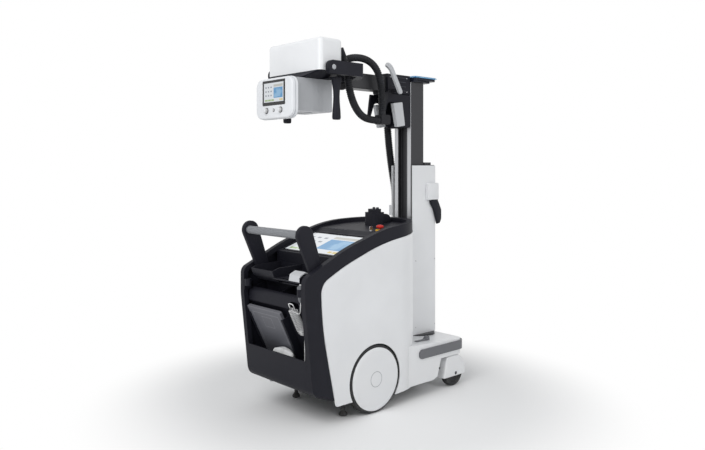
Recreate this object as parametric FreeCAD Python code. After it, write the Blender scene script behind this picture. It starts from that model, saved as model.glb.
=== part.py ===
import FreeCAD, Part
import math
import os

# Mobile x-ray machine: battery-driven body, turning column, telescoping arm and tube head.
# Millimetres. X runs from the drive axle towards the casters, Y to the left, Z up from the floor.
# The finished solids are moved along X so that the middle of the whole is at the origin.

V = FreeCAD.Vector

# Fits between pieces
GAP = 0.3
RUNNING = 0.05
SEAM = 1.5

# Body shell
BODY_HALF = 272.0
FRONT_STRIP_HALF = 44.0
BODY_CORNER = BODY_HALF - FRONT_STRIP_HALF
BODY_FRONT = 413.0
BODY_TOP = 951.0
BODY_BACK = 447.0
SHOULDER_Z = BODY_TOP - 233.0
PANEL_WALL = 6.0
PANEL_PROUD = 4.0
PANEL_DROP = 53.0
FRAME_DEPTH = 34.0
FRAME_SKIN = 7.5
FRAME_RIM = 26.0
SKIRT = 6.0
LINING_HALF = BODY_HALF - FRAME_DEPTH - GAP
PANEL_TOP_FRONT = BODY_TOP - PANEL_DROP
FRAME_OUTLINE = [(-BODY_BACK, SHOULDER_Z, 42.0), (-190.0, SHOULDER_Z + 120.0, 900.0),
                 (90.0, BODY_TOP - 25.0, 900.0), (BODY_FRONT + 7.0, BODY_TOP, 0.0),
                 (BODY_FRONT + 7.0, 96.0, 0.0), (-200.0, 92.0, 60.0),
                 (47.0 - BODY_BACK, 164.0, 60.0), (-BODY_BACK, SHOULDER_Z - 128.0, 400.0)]
PANEL_OUTLINE = [(BODY_FRONT + 7.0, PANEL_TOP_FRONT, 0.0), (60.0, PANEL_TOP_FRONT - 48.0, 1200.0),
                 (-200.0, PANEL_TOP_FRONT - 141.0, 900.0), (95.0 - BODY_BACK, SHOULDER_Z - 36.0, 75.0),
                 (102.0 - BODY_BACK, SHOULDER_Z - 238.0, 1500.0), (-262.0, 88.0, 14.0),
                 (-120.0, 88.0, 0.0), (120.0, 62.0, 0.0), (BODY_FRONT + 7.0, 72.0, 0.0)]
REACH = 2 * BODY_HALF
REAR_SKIN_FRONT = -190.0

# Drive wheels
WHEEL_RADIUS = 170.0
WHEEL_FACE = BODY_HALF + 5.5
WHEEL_WIDTH = 52.0
DISC_THICK = 6.0
COVER_RADIUS = WHEEL_RADIUS - 13.0
RIM_RADIUS = WHEEL_RADIUS - 24.0
SHAFT_RADIUS = 18.0
HUB_RADIUS = 40.0
GROOVE = 3.0
GROOVE_OFFSET = 8.0
ARCH_CLEARANCE = 6.0
MOTOR_LENGTH = 86.0
MOTOR_RADIUS = 40.0
GEARBOX_HALF = 62.0

# Front base, round the column
COLUMN_X = 577.0
BASE_HALF = BODY_HALF - 8.0
BASE_FRONT = COLUMN_X + 127.0
BASE_WALL = 5.0
BASE_CORNER = 45.0
BASE_UNDER = 179.0
BASE_REAR = 236.0
DECK_FRONT_Z = BASE_UNDER + 84.0
DECK_REAR_Z = DECK_FRONT_Z + 25.0
BUMPER_LOW = BASE_UNDER + 27.0
BUMPER_HIGH = BUMPER_LOW + 49.0
BUMPER_THICK = 8.0
BUMPER_TRAVEL = 4.0
BUMPER_START = BODY_FRONT - 83.0
LOCK_X = COLUMN_X - 113.0
LOCK_Y = 64.0 - BASE_HALF
LOCK_PIN = 6.0
PLUG_X = BASE_FRONT - 206.0
PLUG_Z = 128.0
PLUG_RADIUS = 5.0

# Casters
CASTER_X = BASE_FRONT - 84.0
HOOD_HALF = 32.0
CASTER_Y = BASE_HALF - HOOD_HALF
CASTER_TRAIL = 17.0
CASTER_RADIUS = 75.0
CASTER_TYRE_WIDTH = 38.0
CASTER_TREAD = 14.0
CASTER_PIN = 6.0
HOOD_REAR = 84.0
HOOD_FRONT = 102.0
HOOD_TOP = BASE_UNDER - 4.0
HOOD_BOTTOM = 57.0
HOOD_WALL = 5.0
STEM_RADIUS = 12.0

# Steel chassis
CHASSIS_FLOOR_Z = 100.0
CHASSIS_PLATE = 6.0
CHASSIS_TOP = CHASSIS_FLOOR_Z + CHASSIS_PLATE
CHASSIS_HALF = BODY_HALF - 72.0
CHASSIS_REAR = -184.0
RAIL_Y = CASTER_Y - HOOD_FRONT - 34.0
RAIL_WIDTH = 28.0
RAIL_HEIGHT = 46.0
RAIL_LIFT = 14.0
RAIL_TOP = CHASSIS_TOP + RAIL_LIFT + RAIL_HEIGHT
CASTER_ARM_HALF = 30.0
CASTER_ARM_HEIGHT = 22.0
FOOT_X = -146.0
FOOT_Y = CHASSIS_HALF - 10.0
FOOT_RADIUS = 22.0
BATTERY_LENGTH = 120.0
BATTERY_HEIGHT = 170.0
BATTERY_X = 90.0
POST_SPREAD = 70.0

# Column
CASING_HALF = 84.0
CASING_WALL = 6.0
CASING_REAR = COLUMN_X - 103.0
CASING_FRONT = COLUMN_X + 105.0
CASING_CORNER = 22.0
CASING_BOTTOM = DECK_REAR_Z - 9.0
CASING_HEIGHT = 965.0
CASING_TOP = CASING_BOTTOM + CASING_HEIGHT
TURNTABLE_RADIUS = 118.0
TURNTABLE_THICK = 16.0
SPINDLE_RADIUS = 40.0
SPINDLE_LENGTH = 82.0
SOCKET_RADIUS = 70.0
MAST_REAR = COLUMN_X - 97.0
MAST_FRONT = COLUMN_X + 11.0
MAST_HALF = 65.0
MAST_WALL = 8.0
MAST_BOTTOM = CASING_BOTTOM + 281.0
CHANNEL_HALF = 35.0
CHANNEL_DEPTH = 24.0
RAIL_PROUD = 3.0
GUIDE_THICK = 7.0
GUIDE_HALF = 9.0
GUIDE_Y = 38.0
POST_FRONT = CASING_FRONT - 14.0
POST_HALF = MAST_HALF - 7.0
POST_WALL = 8.0
RECESS_LOW = CASING_TOP - 94.0
RECESS_HIGH = CASING_TOP - 32.0
BELT_PITCH = 12.5
BELT_TOOTH = 6.0
BELT_THICK = 8.0
BELT_PROUD = 5.0
BELT_WIDTH = 16.0

# Arm and carriage
ARM_Z = 1697.0
ARM_HALF = 60.0
ARM_HEIGHT = 112.0
ARM_WALL = 14.0
ARM_BOTTOM = ARM_Z - 55.0
ARM_REAR = MAST_REAR - 180.0
MAST_TOP = ARM_Z + 25.0
CARRIAGE_BOTTOM = ARM_BOTTOM - 190.0
CARRIAGE_REAR = MAST_REAR - 50.0
BOOM_HALF = ARM_HALF - ARM_WALL
BOOM_BOTTOM = ARM_BOTTOM + ARM_WALL
BOOM_HEIGHT = ARM_HEIGHT - 2 * ARM_WALL
BOOM_END = ARM_REAR - 280.0
BOOM_FRONT = ARM_REAR + 140.0
BOOM_WALL = 6.0
FLANGE_THICK = 8.0
FLANGE_RADIUS = 52.0
SPIGOT_RADIUS = 20.0
SPIGOT_LENGTH = 36.0
PAD_THICK = 22.0

# Fork and tilt pivot
PIVOT_X = BOOM_END - 275.0
PIVOT_Z = ARM_Z + 20.0
PIVOT_RADIUS = 14.0
WASHER_RADIUS = 24.0
FORK_THICK = 27.0
FORK_HALF_HEIGHT = 33.0
FORK_REAR = BOOM_END - FLANGE_THICK - GAP
FORK_BAR_INNER = BOOM_END - 52.0

# Tube head
COVER_HALF = 213.0
COVER_REAR = PIVOT_X - 59.0
COVER_FRONT = PIVOT_X + 88.0
COVER_BOTTOM = PIVOT_Z - 13.0
COVER_HEIGHT = 161.0
COVER_TOP = COVER_BOTTOM + COVER_HEIGHT
COVER_SOFT = 20.0
TRUNNION_GRIP = 12.0
FORK_INNER = COVER_HALF + 10.0
COLLAR_HEIGHT = 28.0
COLLAR_BOTTOM = COVER_BOTTOM - COLLAR_HEIGHT
HOOD_FACE_X = COVER_FRONT + 26.0
TURN_RING = 78.0
TURN_DEPTH = 12.0

# Tilt grips
GRIP_X = PIVOT_X + 55.0
GRIP_Y = COVER_HALF - 10.0
GRIP_RADIUS = 14.0
GRIP_BOTTOM = COLLAR_BOTTOM - 209.0

# Collimator
COLLIMATOR_X = PIVOT_X - 14.0
BOX_HALF = 104.0
BOX_REAR = COLLIMATOR_X - 129.0
BOX_FRONT = COLLIMATOR_X + 129.0
BOX_TOP = COLLAR_BOTTOM - 3.0
BOX_BOTTOM = BOX_TOP - 163.0
WINDOW_HALF = 50.0
BEZEL_FACE = BOX_REAR - 34.0
BEZEL_HALF = 152.0
BEZEL_BOTTOM = BOX_BOTTOM - 40.0
BEZEL_TOP = BOX_TOP + 1.0
BEZEL_CORNER = 46.0
DISPLAY_LOW = BEZEL_BOTTOM + 67.0
DISPLAY_HIGH = DISPLAY_LOW + 124.0
DISPLAY_HALF = 94.0
DISPLAY_DEPTH = 6.0
KNOB_RADIUS = 11.0
KNOB_Z = BEZEL_BOTTOM + 43.0
KNOB_Y = 58.0
KNOB_DEPTH = 14.0
KNOB_SPINDLE = 4.0
FLUTES = 10
LIGHT_RADIUS = 6.0

# Handle
BAR_X = 17.0 - BODY_BACK
BAR_RADIUS = 20.0
ARM_PLATE = 25.0
HANDLE_FOOT_X = BAR_X + 92.0
HANDLE_FOOT_Z = SHOULDER_Z - 18.0
HANDLE_RISE = 215.0
BAR_Z = HANDLE_FOOT_Z + HANDLE_RISE
HANDLE_WIDTH = 64.0
HANDLE_PIN = 8.0
BOSS_RADIUS = 15.0
HANDLE_OUTER = BODY_HALF - FRAME_DEPTH - 2.0
HANDLE_INNER = HANDLE_OUTER - ARM_PLATE

# Lower pocket and detector
DETECTOR_WIDTH = 280.0
DETECTOR_HEIGHT = 350.0
DETECTOR_THICK = 15.0
DETECTOR_TOP_X = 20.0 - BODY_BACK
DETECTOR_TOP_Z = SHOULDER_Z - 188.0
GUIDE_WALL = 6.0
GUIDE_LIP = 4.0
GUIDE_GRIP = 10.0
DETECTOR_LEFT = LINING_HALF - 7.7
DETECTOR_RIGHT = DETECTOR_LEFT - DETECTOR_WIDTH
LEAN = math.radians(26.0)
LINER_OFFSET = 30.0
LINER_WALL = 6.0
POCKET_FLOOR_Z = 200.0
POCKET_FLOOR = 5.0
POCKET_EDGE_Z = POCKET_FLOOR_Z + 126.0
POUCH_LEFT = DETECTOR_LEFT - 156.0
POUCH_WIDTH = 152.0

# Middle bin
BIN_LIP_X = 31.0 - BODY_BACK
BIN_DEPTH = 118.0
BIN_FLOOR_Z = DETECTOR_TOP_Z + 16.0
BIN_WALL = 5.0
BIN_LIP_Z = BIN_FLOOR_Z + 70.0
NOTCH_HALF = 38.0

# Upper tray
TRAY_FLOOR_Z = BIN_LIP_Z + 48.0
TRAY_WALL = 5.0
TRAY_LIP_Z = TRAY_FLOOR_Z + 58.0
TRAY_HALF = HANDLE_INNER - 13.0
TRAY_REAR = BAR_X
POCKET_RIGHT = 14.0
NICHE_Z = TRAY_FLOOR_Z + 20.0
NICHE_THICK = 6.0

# Hand switch and its holders
HOLDER_X = 13.0 - BODY_BACK
HOLDER_Y = 20.7 - LINING_HALF
HOLDER_RADIUS = 17.5
HOLDER_LOW = BIN_LIP_Z + 12.0
HOLDER_HIGH = HOLDER_LOW + 36.0
SWITCH_RADIUS = 13.0
SWITCH_LOW = HOLDER_LOW - 26.0
SWITCH_TOP = HOLDER_HIGH + 16.0
BUTTON_RADIUS = 6.0
BUTTON_TRAVEL = 4.0
WELL_FLOOR = SWITCH_TOP - 10.0

# Screen and console
SCREEN_REAR_X = -224.0
SCREEN_REAR_Z = BODY_TOP - 154.0
SCREEN_SLOPE = math.radians(18.9)
SCREEN_LENGTH = 250.0
SCREEN_HALF = BODY_HALF - 50.0
GLASS_THICK = 5.0
SCREEN_RECESS = GLASS_THICK + 9.0
SCREEN_BORDER = 7.0
GLASS_PLAY = 0.5
BAND = 14.0
TRAY_BACK = SCREEN_REAR_X - BAND * math.cos(SCREEN_SLOPE)
CONSOLE_THICK = 34.0
APRON = 62.0
APRON_WALL = 6.0
CONSOLE_FRONT = BODY_FRONT - FRAME_DEPTH
SHELF_X = 60.0
SHELF_FRONT_Z = BODY_TOP - 25.0
SHELF_Z = SHELF_FRONT_Z - 26.0

# Parking dock for the tube head
DOCK_X = 255.0
DOCK_LENGTH_HALF = 44.0
DOCK_HALF = 48.0
DOCK_TOP = BODY_TOP + 52.0
DOCK_STEP = 18.0
DOCK_FOOT = 20.0
FIN_RADIUS = 46.0
FIN_HALF = 9.0

# Controls on the shelf
ESTOP_X = 101.0
ESTOP_Y = 72.0 - BODY_HALF
ESTOP_STEM = 7.0
ESTOP_BASE = 19.0
ESTOP_HEAD = 20.0
KEY_X = ESTOP_X - 23.0
KEY_Y = ESTOP_Y + 42.0
KEY_RADIUS = 9.0
KEY_DEPTH = 20.0

# Hoses
HOSE_RADIUS = 17.0
DROP_RADIUS = 22.0
GLAND_HALF = 28.0
HOSE_Y = -32.0 - ARM_HALF
CLAMP_X = ARM_REAR - 68.0
CLAMP_HALF = 34.0
CLAMP_Z = CARRIAGE_BOTTOM + 40.0
CLAMP_HEIGHT_HALF = 26.0
HOSE_END_X = CLAMP_X - CLAMP_HALF
HOSE_END_Z = CLAMP_Z - 6.0
UPPER_ROUTE = [(HOOD_FACE_X, HOSE_Y, ARM_Z + 71.0), (HOOD_FACE_X + 63.0, HOSE_Y, ARM_Z + 71.0),
               (HOOD_FACE_X + 131.0, HOSE_Y, ARM_Z + 109.0), (CLAMP_X - 137.0, HOSE_Y, ARM_Z + 115.0),
               (CLAMP_X - 60.0, HOSE_Y, ARM_Z + 81.0), (CLAMP_X - 20.0, HOSE_Y, ARM_Z + 11.0),
               (CLAMP_X - 10.0, HOSE_Y, ARM_Z - 77.0),
               (CLAMP_X - 10.0, HOSE_Y, CLAMP_Z + CLAMP_HEIGHT_HALF)]
LOWER_ROUTE = [(HOOD_FACE_X + 27.0, HOSE_Y - 58.0, ARM_Z + 91.0),
               (HOOD_FACE_X + 59.0, HOSE_Y - 58.0, ARM_Z + 30.0),
               (HOOD_FACE_X + 69.0, HOSE_Y - 56.0, ARM_Z - 49.0),
               (HOOD_FACE_X + 109.0, HOSE_Y - 44.0, ARM_Z - 129.0),
               (HOOD_FACE_X + 175.0, HOSE_Y - 22.0, HOSE_END_Z + 26.0), (CLAMP_X - 114.0, HOSE_Y, HOSE_END_Z),
               (HOSE_END_X, HOSE_Y, HOSE_END_Z)]
DROP_Y = CASING_HALF + 24.0
DROP_START_X = MAST_REAR - 21.0
DROP_START_Z = ARM_BOTTOM - 14.0
DROP_END_X = DROP_START_X + 71.0
DROP_END_Z = CASING_TOP - 234.0
DROP_HEIGHT = DROP_START_Z - DROP_END_Z
DROP_ROUTE = [(DROP_START_X, DROP_Y, DROP_START_Z), (DROP_START_X, DROP_Y, DROP_END_Z + 0.882 * DROP_HEIGHT),
              (DROP_START_X + 7.0, DROP_Y, DROP_END_Z + 0.712 * DROP_HEIGHT),
              (DROP_START_X + 22.0, DROP_Y, DROP_END_Z + 0.518 * DROP_HEIGHT),
              (DROP_START_X + 44.0, DROP_Y, DROP_END_Z + 0.324 * DROP_HEIGHT),
              (DROP_END_X, DROP_Y, DROP_END_Z + 0.138 * DROP_HEIGHT), (DROP_END_X, DROP_Y, DROP_END_Z)]

# Curly cord
HANK_RADIUS = 14.0
HANK_SPREAD = 17.0
HANK_Y = DETECTOR_RIGHT - 92.0
HANK_TOP = -22.0
HANK_LENGTH = 118.0
CORD_RADIUS = 2.5
HANK_SIDE = HANK_SPREAD + HANK_RADIUS + GAP
SWITCH_ROUTE = [(HOLDER_X, HOLDER_Y, SWITCH_LOW), (HOLDER_X, HOLDER_Y, SWITCH_LOW - 34.0),
                (HOLDER_X + 6.0, HOLDER_Y + 16.0, SWITCH_LOW - 64.0),
                (HOLDER_X + 12.0, HANK_Y - HANK_SIDE, SWITCH_LOW - 64.0)]
CORD_END = (DETECTOR_TOP_X + 67.0, HANK_Y - 15.0, POCKET_FLOOR_Z + 6.0)
POCKET_ROUTE = [(CORD_END[0] - 3.5, CORD_END[1] - 2.0, CORD_END[2] + 215.5),
                (CORD_END[0] - 3.5, CORD_END[1] - 2.0, CORD_END[2] + 144.0),
                (CORD_END[0], CORD_END[1], CORD_END[2] + 72.0), CORD_END]

REAR_REACH = BAR_RADIUS - BAR_X
FRONT_REACH = CASTER_X + HOOD_FRONT
MIDDLE_X = (FRONT_REACH - REAR_REACH) / 2


def place(plane, a, b, level):
    """Put plane coordinates into space: a and b are the plane's own axes."""
    if plane == "xz":
        return V(a, level, b)
    if plane == "xy":
        return V(a, b, level)
    return V(level, a, b)


def normal(plane, length):
    """Give the plane's normal with a length."""
    if plane == "xz":
        return V(0, length, 0)
    if plane == "xy":
        return V(0, 0, length)
    return V(length, 0, 0)


def corner_stops(corners):
    """List where each rounded corner of a loop starts, bulges and ends."""
    stops = []
    for index, corner in enumerate(corners):
        u, v, radius = corner
        here = V(u, v, 0)
        if radius <= 0:
            stops.append((here, here, here))
            continue
        before = corners[index - 1]
        after = corners[(index + 1) % len(corners)]
        back = (V(before[0], before[1], 0) - here).normalize()
        ahead = (V(after[0], after[1], 0) - here).normalize()
        half = back.getAngle(ahead) / 2
        reach = radius / math.tan(half)
        bulge = radius / math.sin(half) - radius
        middle = here + (back + ahead).normalize() * bulge
        stops.append((here + back * reach, middle, here + ahead * reach))
    return stops


def face(corners, plane, level):
    """Make a flat face from a loop of (a, b, radius) corners."""
    stops = corner_stops(corners)
    edges = []
    for index, (start, middle, end) in enumerate(stops):
        ahead = stops[(index + 1) % len(stops)][0]
        points = [place(plane, p.x, p.y, level) for p in (start, middle, end, ahead)]
        if (start - end).Length > 1e-6:
            edges.append(Part.Arc(*points[:3]).toShape())
        if (end - ahead).Length > 1e-6:
            edges.append(Part.LineSegment(points[2], points[3]).toShape())
    return Part.Face(Part.Wire(edges))


def prism(corners, plane, low, high):
    """Extrude a loop of corners between two levels of its plane's normal."""
    return face(corners, plane, low).extrude(normal(plane, high - low))


def sharp(points):
    """Give corners with no rounding."""
    return [(a, b, 0.0) for a, b in points]


def oblong(a0, a1, b0, b1, radius):
    """Give the corners of a rounded rectangle."""
    return [(a0, b0, radius), (a1, b0, radius), (a1, b1, radius), (a0, b1, radius)]


def block(x0, x1, y0, y1, z0, z1):
    """Make a box from its limits."""
    return Part.makeBox(x1 - x0, y1 - y0, z1 - z0, V(x0, y0, z0))


def rod(plane, a, b, radius, low, high):
    """Make a cylinder along a plane's normal."""
    return Part.makeCylinder(radius, high - low, place(plane, a, b, low), normal(plane, 1))


def spun(corners, x, z):
    """Turn a (radius, y) profile about the line along Y through x and z."""
    solid = face(corners, "xy", 0).revolve(V(0, 0, 0), V(0, 1, 0), 360)
    solid.translate(V(x, 0, z))
    return solid


def joined(*shapes):
    """Fuse shapes into one solid without leftover seams."""
    return shapes[0].multiFuse(list(shapes[1:])).removeSplitter()


def mirrored(shape):
    """Copy a shape to the other side of the centre plane."""
    return shape.mirror(V(0, 0, 0), V(0, 1, 0))


def softened(shape, radius, pick):
    """Fillet the edges that a test picks."""
    return shape.makeFillet(radius, [edge for edge in shape.Edges if pick(edge)])


def runs_along(edge, axis):
    """Tell whether an edge is a straight line along an axis."""
    if edge.Curve.TypeId != "Part::GeomLine":
        return False
    return abs(abs(edge.Curve.Direction.dot(axis)) - 1) < 1e-6


def save(name, *solids):
    """Write one node, moved so that the whole is centred on the origin."""
    shape = solids[0] if len(solids) == 1 else Part.makeCompound(list(solids))
    shape = shape.copy()
    shape.translate(V(-MIDDLE_X, 0, 0))
    shape.exportStep("parts/" + name + ".step")


# Body shell: plan and side outlines shared by the frames, panels and covers

def body_plan(inset):
    """Give the body's plan outline, moved inwards by an inset."""
    half = BODY_HALF - inset
    front = BODY_FRONT - inset
    rear = min(a for a, b, r in FRAME_OUTLINE) - 10
    radius = BODY_CORNER - inset
    return [(rear, -half, 0.0), (front, -half, radius), (front, half, radius), (rear, half, 0.0)]


def body_wall(outer, inner):
    """Make the full-height wall between two insets of the body's plan."""
    high = BODY_TOP + SEAM
    return prism(body_plan(outer), "xy", 0, high).cut(prism(body_plan(inner), "xy", 0, high))


def side_slab(outline, growth):
    """Extrude a side outline over the whole width, grown or shrunk evenly."""
    flat = face(outline, "xz", -REACH)
    if growth:
        flat = flat.makeOffset2D(growth)
    return flat.extrude(V(0, 2 * REACH, 0))


def left_half(shape, split_y):
    """Keep the part of a shape that lies left of a plane."""
    return shape.common(block(-2 * BODY_BACK, 2 * BASE_FRONT, split_y, REACH, 0, 2 * BODY_TOP))


def wheel_arch():
    """Make the round cutter that clears both drive wheels."""
    return rod("xz", 0, WHEEL_RADIUS, WHEEL_RADIUS + ARCH_CLEARANCE, -REACH, REACH)


def rail_port():
    """Make the cutter for the opening that the chassis rails pass through."""
    inner = RAIL_Y - RAIL_WIDTH / 2 - 4
    outer = RAIL_Y + RAIL_WIDTH / 2 + 4
    low = CHASSIS_TOP + RAIL_LIFT - 4
    port = block(CONSOLE_FRONT - 26, BODY_FRONT + 10, inner, outer, low, RAIL_TOP + 4)
    return port.fuse(mirrored(port))


def side_frame():
    """Make the left dark shell: outer skin, rolled rim and recess for the white panel."""
    skin = body_wall(PANEL_PROUD, PANEL_WALL + GAP + FRAME_SKIN)
    rim = body_wall(PANEL_PROUD, FRAME_DEPTH)
    outline = side_slab(FRAME_OUTLINE, 0)
    hollow = side_slab(FRAME_OUTLINE, -FRAME_RIM)
    shell = joined(skin.common(outline), rim.common(outline).cut(hollow))
    recess = body_wall(-1, PANEL_WALL + GAP).common(side_slab(PANEL_OUTLINE, SEAM))
    shell = shell.cut(recess).cut(wheel_arch())
    strip_half = FRONT_STRIP_HALF + GAP
    strip = block(0, BODY_FRONT + 80, -strip_half, strip_half, 0, PANEL_TOP_FRONT + SEAM)
    half = left_half(shell.cut(strip).cut(rail_port()), GAP)
    skin_face = BODY_HALF - PANEL_WALL - GAP
    inner_face = BODY_HALF - FRAME_DEPTH
    boss = rod("xz", HANDLE_FOOT_X, HANDLE_FOOT_Z, BOSS_RADIUS, inner_face, skin_face)
    bore = rod("xz", HANDLE_FOOT_X, HANDLE_FOOT_Z, HANDLE_PIN + RUNNING, inner_face - 1, skin_face - 8)
    return joined(half, boss).cut(bore)


def side_panel():
    """Make the left white panel that wraps round the front corner."""
    wall = body_wall(0, PANEL_WALL)
    panel = wall.common(side_slab(PANEL_OUTLINE, 0)).cut(wheel_arch()).cut(rail_port())
    return left_half(panel, FRONT_STRIP_HALF + SEAM)


def front_cover():
    """Make the white strip that closes the front between the two panels."""
    return block(CONSOLE_FRONT, BODY_FRONT, -FRONT_STRIP_HALF, FRONT_STRIP_HALF, 76, PANEL_TOP_FRONT)


def lower_rear_cover():
    """Make the curved dark skin that closes the bottom of the rear."""
    keep = block(-BODY_BACK - 50, REAR_SKIN_FRONT, -LINING_HALF, LINING_HALF, 60, POCKET_EDGE_Z)
    skin = side_slab(FRAME_OUTLINE, 0).cut(side_slab(FRAME_OUTLINE, -LINER_WALL))
    return skin.common(keep)


# Console and screen

def along_screen(distance, lift):
    """Give the point at a distance up the screen slope, lifted off its surface."""
    x = SCREEN_REAR_X + distance * math.cos(SCREEN_SLOPE) - lift * math.sin(SCREEN_SLOPE)
    z = SCREEN_REAR_Z + distance * math.sin(SCREEN_SLOPE) + lift * math.cos(SCREEN_SLOPE)
    return x, z


def screen_slab(start, end, low, high, half):
    """Make a slab parallel to the screen."""
    corners = [along_screen(start, low), along_screen(end, low), along_screen(end, high),
               along_screen(start, high)]
    return prism(sharp(corners), "xz", -half, half)


def shelf_z(x):
    """Give the height of the console's front shelf."""
    run = CONSOLE_FRONT - SHELF_X
    return SHELF_Z + (x - SHELF_X) * (SHELF_FRONT_Z - SHELF_Z) / run


def console_top():
    """Make the dark top deck with its screen recess and front shelf."""
    low_x, low_z = along_screen(-BAND, 0)
    top_x, top_z = along_screen(SCREEN_LENGTH + BAND, 0)
    corners = [(low_x, low_z - APRON, 0), (low_x, low_z, 3), (top_x, top_z, 30), (SHELF_X, SHELF_Z, 30),
               (CONSOLE_FRONT, SHELF_FRONT_Z, 0), (CONSOLE_FRONT, SHELF_FRONT_Z - CONSOLE_THICK, 0),
               (SHELF_X, SHELF_Z - CONSOLE_THICK, 0), (low_x + CONSOLE_THICK, low_z - CONSOLE_THICK, 0),
               (low_x + APRON_WALL, low_z - APRON, 0)]
    deck = prism(corners, "xz", -LINING_HALF, LINING_HALF)
    deck = deck.common(prism(body_plan(FRAME_DEPTH + GAP), "xy", 0, 2 * BODY_TOP))
    deck = deck.cut(screen_slab(0, SCREEN_LENGTH, -SCREEN_RECESS, BAND, SCREEN_HALF))
    deck = joined(deck, screen_frame(), park_dock(), estop_base())
    stem_low = shelf_z(ESTOP_X) - CONSOLE_THICK - BAND
    deck = deck.cut(rod("xy", ESTOP_X, ESTOP_Y, ESTOP_STEM + RUNNING, stem_low, DOCK_TOP))
    key_low = shelf_z(KEY_X) - KEY_DEPTH - GAP
    return deck.cut(rod("xy", KEY_X, KEY_Y, KEY_RADIUS + RUNNING, key_low, DOCK_TOP))


def screen_frame():
    """Make the grey tray that holds the glass."""
    tray = screen_slab(GAP, SCREEN_LENGTH - GAP, -SCREEN_RECESS, 2.5, SCREEN_HALF - GAP)
    return tray.cut(screen_slab(SCREEN_BORDER, SCREEN_LENGTH - SCREEN_BORDER, -GLASS_THICK, BAND,
                                SCREEN_HALF - SCREEN_BORDER))


def screen_glass():
    """Make the touch glass."""
    edge = SCREEN_BORDER + GLASS_PLAY
    return screen_slab(edge, SCREEN_LENGTH - edge, -GLASS_THICK, 0, SCREEN_HALF - edge)


# Parking dock for the tube head

def park_dock():
    """Make the rounded dock post with its half-round cradle."""
    base = shelf_z(DOCK_X + DOCK_LENGTH_HALF + 10)
    plan = oblong(DOCK_X - DOCK_LENGTH_HALF, DOCK_X + DOCK_LENGTH_HALF, -DOCK_HALF, DOCK_HALF, 30)
    post = prism(plan, "xy", base - DOCK_FOOT, DOCK_TOP - DOCK_STEP)
    cap = oblong(DOCK_X - 30, DOCK_X + 30, 14 - DOCK_HALF, DOCK_HALF - 14, 22)
    cap = prism(cap, "xy", DOCK_TOP - DOCK_STEP, DOCK_TOP)
    fin = rod("xz", DOCK_X + DOCK_LENGTH_HALF + 34, base + 6, FIN_RADIUS, -FIN_HALF, FIN_HALF)
    fin = fin.common(block(DOCK_X, DOCK_X + 3 * DOCK_LENGTH_HALF, -FIN_HALF, FIN_HALF, base, DOCK_TOP))
    shelf = prism(sharp([(SHELF_X, SHELF_Z), (BODY_FRONT, shelf_z(BODY_FRONT)), (BODY_FRONT, SHOULDER_Z),
                         (SHELF_X, SHOULDER_Z)]), "xz", -2 * DOCK_HALF, 2 * DOCK_HALF)
    return joined(post, cap, fin).cut(shelf)


# Rear storage

def leaning(distance, offset):
    """Give the point at a distance down the detector's lean, offset towards the front."""
    x = DETECTOR_TOP_X + distance * math.sin(LEAN) + offset * math.cos(LEAN)
    z = DETECTOR_TOP_Z - distance * math.cos(LEAN) + offset * math.sin(LEAN)
    return x, z


def leaning_slab(start, end, low, high, y0, y1, radius=0.0):
    """Make a slab parallel to the leaning detector."""
    corners = [leaning(start, low), leaning(end, low), leaning(end, high), leaning(start, high)]
    solid = prism(sharp(corners), "xz", y0, y1)
    if radius:
        across = V(math.cos(LEAN), 0, math.sin(LEAN))
        solid = softened(solid, radius, lambda edge: runs_along(edge, across))
    return solid


def detector():
    """Make the flat image detector."""
    half = DETECTOR_THICK / 2
    return leaning_slab(0, DETECTOR_HEIGHT, -half, half, DETECTOR_RIGHT, DETECTOR_LEFT, 9.0)


def lower_pocket():
    """Make the lower pocket: rear skin, floor, leaning liner and detector guides."""
    under = POCKET_FLOOR_Z - POCKET_FLOOR
    top = leaning(0, LINER_OFFSET)
    slope = math.tan(LEAN)
    top_x = top[0] - (BIN_FLOOR_Z - top[1]) * slope
    low_x = top[0] + (top[1] - under) * slope
    wall = prism(sharp([(top_x, BIN_FLOOR_Z), (top_x + LINER_WALL, BIN_FLOOR_Z), (low_x + LINER_WALL, under),
                        (low_x, under)]), "xz", -LINING_HALF, LINING_HALF)
    floor = block(-BODY_BACK, low_x + LINER_WALL / 2, -LINING_HALF, LINING_HALF, under, POCKET_FLOOR_Z)
    floor = floor.common(side_slab(FRAME_OUTLINE, -LINER_WALL / 2))
    relief = rod("xy", CORD_END[0], CORD_END[1], 6, POCKET_FLOOR_Z - 1, CORD_END[2])
    return joined(wall, floor, lower_rear_cover(), relief, *detector_guides())


def detector_guides():
    """Make the two channels and the sill that carry the detector."""
    back = DETECTOR_THICK / 2 + GAP
    left = DETECTOR_LEFT + GAP
    right = DETECTOR_RIGHT - GAP
    top = 4 * GUIDE_GRIP
    end = DETECTOR_HEIGHT - GUIDE_LIP
    solids = []
    for outer, inner, tip in ((left + GUIDE_WALL, left, left - GUIDE_GRIP),
                              (right - GUIDE_WALL, right, right + GUIDE_GRIP)):
        rail = leaning_slab(top, end, -back - GUIDE_LIP, LINER_OFFSET, min(inner, outer), max(inner, outer))
        ledge = leaning_slab(top, end, back, back + GUIDE_LIP, min(inner, tip), max(inner, tip))
        lip = leaning_slab(top, end, -back - GUIDE_LIP, -back, min(inner, tip), max(inner, tip))
        solids.append(joined(rail, ledge, lip))
    sill = leaning_slab(DETECTOR_HEIGHT + GAP, DETECTOR_HEIGHT + GUIDE_WALL, -back - GUIDE_LIP, LINER_OFFSET,
                        right, left)
    return solids + [sill]


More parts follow.
